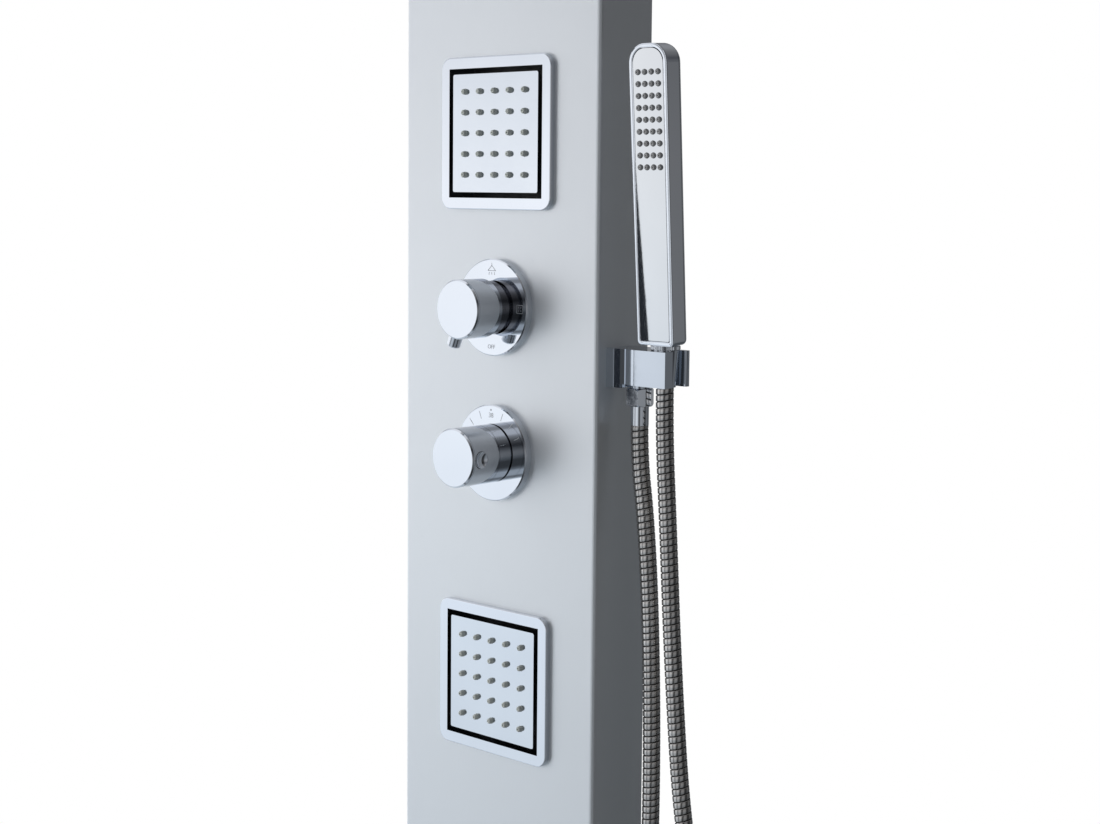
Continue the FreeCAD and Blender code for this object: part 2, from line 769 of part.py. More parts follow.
def thermostat():
    z = "thermostat_z"
    escutcheon("thermostat_escutcheon", z)
    mixerBody()
    # fixed stop ring of the knob's own diameter, close to the escutcheon
    ring = newBody("thermostat_ring", y="-panel_depth", z=z)
    top = "-(thermostat_reach - thermostat_skirt - 0.3)"
    low = "-(escutcheon_thick + ring_lift)"
    turned(ring, [("valve_sleeve", "-escutcheon_thick"), ("collar_radius", "-escutcheon_thick"), ("collar_radius", low),
                  ("knob_radius", low), ("knob_radius", top), ("knob_hub + 1", top),
                  ("knob_hub + 1", "-(escutcheon_thick + valve_sleeve_out)"),
                  ("valve_sleeve", "-(escutcheon_thick + valve_sleeve_out)")], "Y")
    spindle("thermostat_spindle", z, "thermostat_reach")
    knob = knobShell("thermostat_knob", z, "thermostat_reach", "thermostat_skirt")
    hole = sketchOn(knob, "YZ_Plane", "knob_radius + 1")
    circle(hole, "button_back - thermostat_reach", "0", "button_radius + button_fit")
    pocket(knob, hole, "1 + button_long + button_travel + button_fit")
    knobCap("thermostat_knob_cap", z, "thermostat_reach")
    # dished release button in the skirt at three o'clock
    button = newBody("release_button", y="-panel_depth + button_back - thermostat_reach", z=z)
    disc = sketchOn(button, "YZ_Plane", "knob_radius - button_long")
    circle(disc, "0", "0", "button_radius")
    pad(button, disc, "button_long")
    ballSeat(button, "button_dish", x="knob_radius + button_dish - button_dish_deep")


def pipes():
    y = size("pipe_depth") - size("panel_depth")
    outletY = size("water_depth") - size("panel_depth")
    outletZ = size("holder_top") - size("holder_tall") / 2
    outer, bore, bend = size("pipe_radius"), size("pipe_bore"), size("pipe_bend")
    side, turn = size("pipe_side"), size("pipe_turn")
    valve = size("diverter_z")
    out = size("body_radius") + size("port_long")
    point = FreeCAD.Vector
    for name, step, z in (("upper", 1, size("upper_jet_z")), ("lower", -1, size("lower_jet_z"))):
        port = valve + step * size("port_step")
        tube(name + "_jet_pipe", [
            point(-out, y, port),
            point(-side, y, port),
            point(-side, y, z),
            point(-size("jet_port"), y, z),
        ], outer, bore, bend)
    tube("mixed_water_pipe", [
        point(0, y, size("thermostat_z") + size("mixer_radius") + size("port_long")),
        point(0, y, valve - out),
    ], outer, bore, bend)
    tube("rain_pipe", [
        point(0, y, valve + out),
        point(0, y, valve + out + turn),
        point(side, y, valve + out + turn),
        point(side, y, size("rain_z")),
        point(size("rain_fitting") + size("rain_port"), y, size("rain_z")),
    ], outer, bore, bend)
    tube("handset_pipe", [
        point(out, y, valve),
        point(out + turn, y, valve),
        point(out + turn, outletY, outletZ),
        point(size("panel_width") / 2 - size("spigot_long"), outletY, outletZ),
    ], outer, bore, bend)


# ---- hand shower outlet and holder ----

def outletHolder():
    body = newBody("outlet_holder", x="panel_width/2", y="-panel_depth", z="holder_top")
    deep = "water_depth - fork_slot/2 - fork_front"
    rear = "%s + holder_wide" % deep
    plan = sketchOn(body, "XY_Plane", "-holder_tall")
    polygon(plan, [("0", "%s + holder_edge" % deep), ("holder_base_long", "%s + holder_edge" % deep),
                   ("holder_base_long + holder_waist", "%s + holder_waist" % deep),
                   ("holder_flare", deep), ("holder_long", deep), ("holder_long", rear),
                   ("0", rear)])
    pad(body, plan, "holder_tall")
    base = sketchOn(body, "XY_Plane", "-holder_base_tall")
    rectangle(base, "0", "holder_base_long", "%s + holder_edge" % deep, rear)
    pad(body, base, "holder_base_tall - holder_tall")
    slot = sketchOn(body, "XY_Plane", "0")
    rectangle(slot, "socket_out", "holder_long + 1", "water_depth - fork_slot/2", "water_depth + fork_slot/2")
    pocket(body, slot, "holder_tall")
    fillet(body, "fork_tip", lambda e: parallel(e, ALONG_Z) and abs(mid(e).x - size("holder_long")) < 0.01
           and mid(e).y > size("water_depth"))
    spigot = sketchOn(body, "YZ_Plane")
    circle(spigot, "water_depth", "-holder_tall/2", "spigot_radius")
    pad(body, spigot, "spigot_long", back=True)
    nipple = sketchOn(body, "XY_Plane", "-holder_tall")
    circle(nipple, "outlet_out", "water_depth", "outlet_nipple")
    pad(body, nipple, "outlet_nipple_long", back=True)
    across = sketchOn(body, "YZ_Plane", "-spigot_long")
    circle(across, "water_depth", "-holder_tall/2", "water_bore")
    pocket(body, across, "spigot_long + outlet_out", ahead=True)
    down = sketchOn(body, "XY_Plane", "-holder_tall - outlet_nipple_long")
    circle(down, "outlet_out", "water_depth", "water_bore")
    pocket(body, down, "outlet_nipple_long + holder_tall/2", ahead=True)
    cutter(body, "Cone", {"Radius1": "cone_foot + socket_gap", "Radius2": "cone_top + socket_gap", "Height": "cone_long"},
           x="socket_out", y="water_depth", z="-cone_long")


def hexagon(sketch, flats):
    across = "(%s)/2/cos(30)" % flats
    polygon(sketch, [("(%s)*cos(%d)" % (across, 60 * i), "(%s)*sin(%d)" % (across, 60 * i)) for i in range(6)])


def nutBody(label, flats, tall, x, y, z, plane="XY_Plane"):
    body = newBody(label, x, y, z)
    sketch = sketchOn(body, plane)
    hexagon(sketch, flats)
    pad(body, sketch, tall, back=True)
    return body


def outletFittings():
    middle = "water_depth - panel_depth"
    spigotZ = "holder_top - holder_tall/2"
    inside = "panel_width/2 - panel_wall"
    washer = newBody("holder_washer", inside, middle, spigotZ)
    ring = sketchOn(washer, "YZ_Plane")
    circle(ring, "0", "0", "washer_radius")
    circle(ring, "0", "0", "spigot_radius + spigot_gap")
    pad(washer, ring, "washer_thick", back=True)
    nut = nutBody("holder_lock_nut", "lock_nut_flats", "lock_nut_thick", inside + "- washer_thick", middle, spigotZ,
                  "YZ_Plane")
    bore = sketchOn(nut, "YZ_Plane")
    circle(bore, "0", "0", "spigot_radius + spindle_fit")
    pocket(nut, bore, "lock_nut_thick")

    out = "panel_width/2 + outlet_out"
    top = "holder_top - holder_tall - hose_nut_drop"
    hexNut = nutBody("hose_outlet_nut", "hose_nut_flats", "hose_nut_tall", out, middle, top)
    thread = sketchOn(hexNut, "XY_Plane")
    circle(thread, "0", "0", "outlet_nipple + spindle_fit")
    pocket(hexNut, thread, "hose_nut_tall - hose_nut_floor")
    hole = sketchOn(hexNut, "XY_Plane")
    circle(hole, "0", "0", "hose_bore")
    pocket(hexNut, hole, "hose_nut_tall")
    corner = "hose_nut_flats/2/cos(30)"
    bevel = "(%s - hose_nut_flats/2)*1.6" % corner
    for edge, sign in (("0", "-"), ("-hose_nut_tall", "+")):
        turned(hexNut, [("hose_nut_flats/2 - 0.3", edge), ("%s + 1" % corner, edge),
                        ("%s + 1" % corner, "%s %s (%s)" % (edge, sign, bevel))], "Z", cut=True)

    ferrule = newBody("hose_ferrule", out, middle, "%s - hose_nut_tall" % top)
    turned(ferrule, [("hose_bore", "0"), ("ferrule_radius", "0"), ("ferrule_radius", "-ferrule_long"),
                     ("hose_bore", "-ferrule_long")], "Z")


def hoseCone():
    body = newBody("hose_cone", "panel_width/2 + socket_out", "water_depth - panel_depth", "holder_top")
    lip = "socket_gap"
    turned(body, [("hose_bore", "-cone_long"), ("cone_foot", "-cone_long"), ("cone_top", "0"), ("cone_top", lip),
                  ("cone_rim", lip + "+ 0.3"), ("cone_rim", lip + "+ cone_rim_tall"), ("cone_thread", lip + "+ cone_rim_tall"),
                  ("cone_thread", lip + "+ cone_rim_tall - cone_thread_deep"),
                  ("hose_bore", lip + "+ cone_rim_tall - cone_thread_deep")], "Z")


def hosePath():
    points = [FreeCAD.Vector(*p) for p in HOSE_ROUTE]
    runs = [(b - a).Length for a, b in zip(points, points[1:])]

    def bend(i, half):
        return 0.45 * min(runs[i - 1], runs[i]) / math.tan(half)

    path, radii = arcPath(points, bend)
    print("hose bends, mm:", " ".join("%.0f" % r for r in radii))
    print("hose runs, mm:", " ".join("%.0f" % r for r in runs))
    return path


def ribbedHose():
    # strip-wound hose: crests and grooves along the route, with a plain bore
    path = hosePath()
    total = path.Length
    plain = 2 * size("hose_radius")
    pitch = (total - 2 * plain) / HOSE_RIBS
    crest = size("hose_radius")
    groove = size("hose_groove")
    stations = [(0.0, groove)]
    for i in range(HOSE_RIBS):
        start = plain + i * pitch
        stations += [(start, groove), (start + 0.14 * pitch, crest), (start + 0.80 * pitch, crest),
                     (start + 0.94 * pitch, groove)]
    stations.append((total, groove))
    edges = path.OrderedEdges
    ends = [0.0]
    for edge in edges:
        ends.append(ends[-1] + edge.Length)
    wires = []
    bores = []
    k = 0
    for along, radius in stations:
        while k < len(edges) - 1 and along > ends[k + 1] + 1e-9:
            k += 1
        edge = edges[k]
        share = min(max((along - ends[k]) / edge.Length, 0.0), 1.0)
        first, last = edge.FirstParameter, edge.LastParameter
        if edge.Orientation == "Reversed":
            first, last = last, first
        parameter = first + share * (last - first)
        point = edge.valueAt(parameter)
        tangent = edge.tangentAt(parameter)
        if edge.Orientation == "Reversed":
            tangent = tangent * -1
        sideways = (ALONG_Y - tangent * tangent.dot(ALONG_Y)).normalize()
        for ring, r in ((wires, radius), (bores, size("hose_bore"))):
            circleShape = Part.Circle(FreeCAD.Vector(0, 0, 0), FreeCAD.Vector(0, 0, 1), r).toShape()
            frame = FreeCAD.Rotation(sideways, tangent.cross(sideways), tangent, "ZXY")
            circleShape.Placement = FreeCAD.Placement(point, frame)
            ring.append(Part.Wire(circleShape))
    outside = Part.makeLoft(wires, True, True)
    inside = Part.makeLoft(bores[::4] + [bores[-1]] if (len(bores) - 1) % 4 else bores[::4], True, True)
    thing = doc.addObject("Part::Feature", "shower_hose")
    thing.Shape = outside.cut(inside)
    filled = 0.0
    for (here, r0), (there, r1) in zip(stations, stations[1:]):
        filled += math.pi * (there - here) * (r0 * r0 + r0 * r1 + r1 * r1) / 3
    filled -= math.pi * size("hose_bore") ** 2 * total
    print("hose length %.1f mm, volume %.0f mm3, sections along it %.0f mm3" % (total, thing.Shape.Volume, filled))
    keep(thing, "shower_hose")


# ---- hand shower ----

def handsetOutline(sketch, inset):
    foot = "handset_foot/2 - (%s)" % inset
    head = "handset_head/2 - (%s)" % inset
    polygon(sketch, [("-(%s)" % foot, inset), (foot, inset), (head, "handset_long - (%s)" % inset),
                     ("-(%s)" % head, "handset_long - (%s)" % inset)])


def handsetCorners(body, inset):
    top = size("handset_long") / 2
    fillet(body, "handset_crown - (%s)" % inset,
           lambda e: e.Curve.TypeId == "Part::GeomLine" and abs(e.Curve.Direction.y) > 0.99 and mid(e).z > top)
    fillet(body, "handset_heel - (%s)/2" % inset,
           lambda e: e.Curve.TypeId == "Part::GeomLine" and abs(e.Curve.Direction.y) > 0.99 and mid(e).z < top)


def leaned(body):
    angle = size("handset_lean")
    body.Placement = FreeCAD.Placement(body.Placement.Base, FreeCAD.Rotation(ALONG_X, angle))
    bind(body, "Placement.Rotation.Angle", "handset_lean")
    return body


def handset():
    spot = ("panel_width/2 + socket_out", "water_depth - panel_depth", "holder_top + handset_lift")
    shell = leaned(newBody("handset_shell", *spot))
    outline = sketchOn(shell, "XZ_Plane", "-handset_back")
    handsetOutline(outline, "0")
    pad(shell, outline, "handset_back + handset_front")
    handsetCorners(shell, "0")
    fillet(shell, "handset_round", lambda e: abs(mid(e).y - size("handset_back")) < 0.01)
    recess = sketchOn(shell, "XZ_Plane", "handset_front")
    handsetOutline(recess, "handset_border")
    pocket(shell, recess, "handset_plate")
    chamber = sketchOn(shell, "XZ_Plane", "handset_front - handset_plate")
    handsetOutline(chamber, "handset_border + handset_ledge")
    pocket(shell, chamber, "handset_chamber")

    plate = leaned(newBody("handset_plate", *spot))
    outline = sketchOn(plate, "XZ_Plane", "handset_front - handset_plate")
    inset = "handset_border + handset_groove"
    handsetOutline(outline, inset)
    pad(plate, outline, "handset_plate")
    handsetCorners(plate, inset)

    nozzles = leaned(newBody("handset_nozzles", *spot))
    grid = sketchOn(nozzles, "XZ_Plane", "handset_front")
    for row in range(9):
        for column in range(4):
            circle(grid, "(%g)*spray_column_pitch" % (column - 1.5),
                   "handset_long - spray_first_row - %d*spray_row_pitch" % row, "spray_radius")
    pad(nozzles, grid, "spray_tip")

    collar = newBody("handset_collar", "panel_width/2 + socket_out", "water_depth - panel_depth",
                     "holder_top + socket_gap + cone_rim_tall")
    turned(collar, [("water_bore", "-handset_thread_long"), ("handset_thread", "-handset_thread_long"),
                    ("handset_thread", "0.05"), ("collar_flange", "0.05"), ("collar_flange", "collar_flange_tall"),
                    ("water_bore", "collar_flange_tall")], "Z")


# ---- overhead shower ----

def rainShower():
    y = "-panel_depth"
    flange = newBody("rain_flange", y=y, z="rain_z")
    turned(flange, [("rain_tube + slip_gap", "0"), ("rain_flange", "0"),
                    ("rain_flange", "rain_flange_edge - rain_flange_thick"),
                    ("rain_flange - rain_flange_edge", "-rain_flange_thick"),
                    ("rain_tube + slip_gap", "-rain_flange_thick")], "Y")
    fitting = newBody("rain_fitting", y="0", z="rain_z")
    turned(fitting, [("0", "-rain_fitting_back"), ("rain_fitting", "-rain_fitting_back"),
                     ("rain_fitting", "-rain_fitting_front"), ("0", "-rain_fitting_front")], "Y")
    portOn(fitting, "YZ_Plane", "pipe_depth - panel_depth", "0", "0", "rain_fitting + rain_port")
    turned(fitting, [("0", "-rain_fitting_back - 4"), ("rain_tube_bore", "-rain_fitting_back - 4"),
                     ("rain_tube_bore", "-rain_fitting_front - 1"), ("0", "-rain_fitting_front - 1")], "Y", cut=True)

    reach = -size("panel_depth") - size("rain_reach")
    end = size("rain_z") - size("rain_drop")
    point = FreeCAD.Vector
    tube("rain_arm", [point(0, -size("rain_fitting_front"), size("rain_z")), point(0, reach, size("rain_z")),
                      point(0, reach, end)], size("rain_tube"), size("rain_tube_bore"), size("rain_bend"))

    spot = ("0", "-panel_depth - rain_reach", "rain_z - rain_drop - rain_collar_tall - rain_neck_long")
    collarTop = "rain_neck_long + rain_collar_tall"
    stem = newBody("rain_stem", *spot)
    turned(stem, [("0", "0"), ("rain_neck", "0"), ("rain_neck", "rain_neck_long"), ("rain_collar", "rain_neck_long"),
                  ("rain_collar", collarTop), ("0", collarTop)], "Z")
    ballSeat(stem, "rain_ball + ball_gap")
    ball = doc.addObject("Part::Sphere", "rain_ball")
    bind(ball, "Radius", "rain_ball")
    place(ball, *spot)
    keep(ball, "rain_ball")
    nut = newBody("rain_ball_nut", *spot)
    turned(nut, [("0", "-rain_nut_foot"), ("rain_nut", "-rain_nut_foot"), ("rain_nut", "0"),
                 ("rain_nut - 3", "rain_nut_top"), ("0", "rain_nut_top")], "Z")
    ballSeat(nut, "rain_ball + ball_gap")

    top = "-(rain_nut_foot + rain_dome_tall)"
    head = newBody("rain_head", *spot)
    slab = sketchOn(head, "XY_Plane", top)
    square(slab, "rain_head")
    pad(head, slab, "rain_head_tall", back=True)
    fillet(head, "rain_head_corner", lambda e: parallel(e, ALONG_Z))
    fillet(head, "rain_head_edge", lambda e: abs(mid(e).z - head.Tip.Shape.BoundBox.ZMax) < 0.01)
    turned(head, [("0", top + "- 1"), ("rain_dome", top + "- 1"), ("rain_dome", top),
                  ("rain_nut + 1", "-rain_nut_foot"), ("0", "-rain_nut_foot")], "Z")
    under = "%s - rain_head_tall" % top
    rebate = sketchOn(head, "XY_Plane", under)
    square(rebate, "rain_face", "slip_gap")
    pocket(head, rebate, "rain_face_sheet", ahead=True)
    chamber = sketchOn(head, "XY_Plane", under)
    square(chamber, "rain_face", "-rain_ledge")
    pocket(head, chamber, "rain_head_tall - rain_skin", ahead=True)
    face = newBody("rain_face", *spot)
    plate = sketchOn(face, "XY_Plane", under)
    square(plate, "rain_face")
    pad(face, plate, "rain_face_sheet")
    fillet(face, "rain_face_corner", lambda e: parallel(e, ALONG_Z))
    nozzles = newBody("rain_nozzles", *spot)
    grid = sketchOn(nozzles, "XY_Plane", under)
    nozzleGrid(grid, RAIN_ROWS, "rain_nozzle_pitch", "nozzle_radius")
    pad(nozzles, grid, "nozzle_tip", back=True)


columnShell()
endCap("top_cap", "panel_top", False)
endCap("bottom_cap", "panel_top - panel_height", True)
wallBracket("upper_wall_bracket", "0")
wallBracket("lower_wall_bracket", "-bracket_spacing")
hangerBar("upper_hanger_bar", "0")
hangerBar("lower_hanger_bar", "-bracket_spacing")
hangerRivets()
bodyJet("upper", "upper_jet_z")
bodyJet("lower", "lower_jet_z")
diverter()
thermostat()
pipes()
outletHolder()
outletFittings()
hoseCone()
ribbedHose()
handset()
rainShower()
doc.recompute()

for thing in doc.Objects:
    if "Invalid" in thing.State or "Error" in thing.State:
        raise RuntimeError("%s is %s" % (thing.Label, thing.State))
for thing in SUBPARTS:
    if thing.Shape.isNull() or not thing.Shape.isValid() or not thing.Shape.Solids:
        raise RuntimeError("%s has no sound solid" % thing.Label)

os.makedirs("parts", exist_ok=True)
for thing in SUBPARTS:
    thing.Shape.exportStep("parts/%s.step" % thing.Label)
print(len(SUBPARTS), "sub-parts")
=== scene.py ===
import math

import bmesh
import bpy
from mathutils import Matrix, Vector


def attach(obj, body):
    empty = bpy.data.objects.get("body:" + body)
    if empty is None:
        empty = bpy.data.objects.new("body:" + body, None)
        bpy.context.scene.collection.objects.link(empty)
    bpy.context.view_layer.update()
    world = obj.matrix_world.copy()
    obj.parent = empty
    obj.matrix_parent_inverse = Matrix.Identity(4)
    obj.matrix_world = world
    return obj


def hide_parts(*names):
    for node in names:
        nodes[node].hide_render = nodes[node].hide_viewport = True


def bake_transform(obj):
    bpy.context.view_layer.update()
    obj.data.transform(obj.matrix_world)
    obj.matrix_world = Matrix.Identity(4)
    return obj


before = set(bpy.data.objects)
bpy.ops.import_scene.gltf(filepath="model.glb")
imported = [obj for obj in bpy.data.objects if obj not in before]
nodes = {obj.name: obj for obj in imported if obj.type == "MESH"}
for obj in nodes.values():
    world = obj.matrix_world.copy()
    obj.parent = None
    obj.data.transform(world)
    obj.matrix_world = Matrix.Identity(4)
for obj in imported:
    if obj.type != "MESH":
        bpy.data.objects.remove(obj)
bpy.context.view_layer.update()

# Wall-hung shower panel: satin column, two swivel body jets, two knobs, hand shower on a ribbed hose,
# overhead shower. Everything is in metres; y = 0 is the wall and the front looks along -Y.

scene = bpy.context.scene
scene.view_settings.view_transform = "Standard"


# camera: stands right of the panel, a little above the knobs
viewpoint = {
    "place": (0.97297, -1.04477, -0.53028),
    "turn": 42.951,
    "dip": 5.211,
    "roll": 0.498,
    "lens": 60.676,
    "sensor": 36,
    "shiftDown": 0.05,
    "clip": (0.05, 60),
}


def placeCamera(v):
    data = bpy.data.cameras.new("studioCamera")
    data.lens = v["lens"]
    data.sensor_width = v["sensor"]
    data.shift_y = -v["shiftDown"]
    data.clip_start, data.clip_end = v["clip"]
    camera = bpy.data.objects.new("studioCamera", data)
    scene.collection.objects.link(camera)
    turn = Matrix.Rotation(math.radians(v["turn"]), 4, "Z")
    dip = Matrix.Rotation(math.radians(90 - v["dip"]), 4, "X")
    roll = Matrix.Rotation(math.radians(v["roll"]), 4, "Z")
    camera.matrix_world = Matrix.Translation(v["place"]) @ turn @ dip @ roll
    scene.camera = camera


placeCamera(viewpoint)
print("camera placed")


# small helpers for node trees, used by the shader groups, the world and the stage
def mathNode(tree, operation, *sources):
    node = tree.nodes.new("ShaderNodeMath")
    node.operation = operation
    for socket, source in zip(node.inputs, sources):
        tree.links.new(source, socket)
    return node.outputs[0]


def spread(tree, value, low, high, fromLow=0.3, fromHigh=0.7, kind="LINEAR"):
    # stretches value between fromLow and fromHigh to low and high, which are numbers or sockets
    ramp = tree.nodes.new("ShaderNodeMapRange")
    ramp.interpolation_type = kind
    ramp.inputs["From Min"].default_value = fromLow
    ramp.inputs["From Max"].default_value = fromHigh
    tree.links.new(value, ramp.inputs["Value"])
    for socket, source in (("To Min", low), ("To Max", high)):
        if isinstance(source, float):
            ramp.inputs[socket].default_value = source
        else:
            tree.links.new(source, ramp.inputs[socket])
    return ramp.outputs["Result"]


# shader groups that several finishes share
def newGroup(name, inputs, outputs):
    group = bpy.data.node_groups.new(name, "ShaderNodeTree")
    for label, kind, value in inputs:
        group.interface.new_socket(label, in_out="INPUT", socket_type=kind).default_value = value
    for label, kind in outputs:
        group.interface.new_socket(label, in_out="OUTPUT", socket_type=kind)
    return group, group.nodes.new("NodeGroupInput"), group.nodes.new("NodeGroupOutput")


def stretchedCoords(group, start):
    # object coordinates, squeezed along the directions in which the pattern is drawn out
    coords = group.nodes.new("ShaderNodeTexCoord")
    squeeze = group.nodes.new("ShaderNodeVectorMath")
    squeeze.operation = "MULTIPLY"
    group.links.new(coords.outputs["Object"], squeeze.inputs[0])
    group.links.new(start.outputs["Stretch"], squeeze.inputs[1])
    return squeeze.outputs["Vector"]


def noiseNode(group, start, vector, detail, roughness):
    noise = group.nodes.new("ShaderNodeTexNoise")
    noise.inputs["Detail"].default_value = detail
    noise.inputs["Roughness"].default_value = roughness
    group.links.new(vector, noise.inputs["Vector"])
    group.links.new(start.outputs["Scale"], noise.inputs["Scale"])
    return noise.outputs["Fac"]


def makeGrainGroup():
    # fine drawn or cast grain: height for bump, roughness between two ends
    group, start, end = newGroup(
        "metalGrain",
        [("Stretch", "NodeSocketVector", (1, 1, 1)), ("Scale", "NodeSocketFloat", 400.0),
         ("Smooth", "NodeSocketFloat", 0.2), ("Rough", "NodeSocketFloat", 0.3)],
        [("Height", "NodeSocketFloat"), ("Roughness", "NodeSocketFloat")])
    grain = noiseNode(group, start, stretchedCoords(group, start), detail=5.0, roughness=0.6)
    roughness = spread(group, grain, start.outputs["Smooth"], start.outputs["Rough"])
    group.links.new(grain, end.inputs["Height"])
    group.links.new(roughness, end.inputs["Roughness"])
    return group


def makeToneGroup():
    # slow change between two close colours, as on plated and anodised metal
    group, start, end = newGroup(
        "finishTone",
        [("Stretch", "NodeSocketVector", (1, 1, 1)), ("Scale", "NodeSocketFloat", 6.0),
         ("Light", "NodeSocketColor", (0.8, 0.8, 0.8, 1)), ("Deep", "NodeSocketColor", (0.7, 0.7, 0.7, 1))],
        [("Color", "NodeSocketColor")])
    cloud = noiseNode(group, start, stretchedCoords(group, start), detail=3.0, roughness=0.5)
    mix = group.nodes.new("ShaderNodeMix")
    mix.data_type = "RGBA"
    group.links.new(spread(group, cloud, 0.0, 1.0), mix.inputs["Factor"])
    group.links.new(start.outputs["Light"], mix.inputs[6])
    group.links.new(start.outputs["Deep"], mix.inputs[7])
    group.links.new(mix.outputs[2], end.inputs["Color"])
    return group


# dried water on the plated pieces: a drop fades out between two distances from its middle,
# and drops lie only where a wide noise is high
driedWater = {
    "scale": 110.0,
    "dull": 0.03,
    "drop": (0.06, 0.2),
    "patchScale": 14.0,
    "patch": (0.55, 0.7),
}


def makeSpotGroup(w):
    # faint spots that dull the polish where they sit
    group, start, end = newGroup(
        "dryWater",
        [("Stretch", "NodeSocketVector", (1, 1, 1)), ("Scale", "NodeSocketFloat", 90.0),
         ("Roughness", "NodeSocketFloat", 0.05), ("Dull", "NodeSocketFloat", 0.06)],
        [("Roughness", "NodeSocketFloat")])
    vector = stretchedCoords(group, start)
    cells = group.nodes.new("ShaderNodeTexVoronoi")
    group.links.new(vector, cells.inputs["Vector"])
    group.links.new(start.outputs["Scale"], cells.inputs["Scale"])
    drops = spread(group, cells.outputs["Distance"], 1.0, 0.0, *w["drop"])
    wide = group.nodes.new("ShaderNodeTexNoise")
    wide.inputs["Scale"].default_value = w["patchScale"]
    group.links.new(vector, wide.inputs["Vector"])
    patches = spread(group, wide.outputs["Fac"], 0.0, 1.0, *w["patch"])
    mask = mathNode(group, "MULTIPLY", drops, patches)
    dull = mathNode(group, "MULTIPLY_ADD", mask, start.outputs["Dull"], start.outputs["Roughness"])
    group.links.new(dull, end.inputs["Roughness"])
    return group


grainGroup = makeGrainGroup()
toneGroup = makeToneGroup()
spotGroup = makeSpotGroup(driedWater)


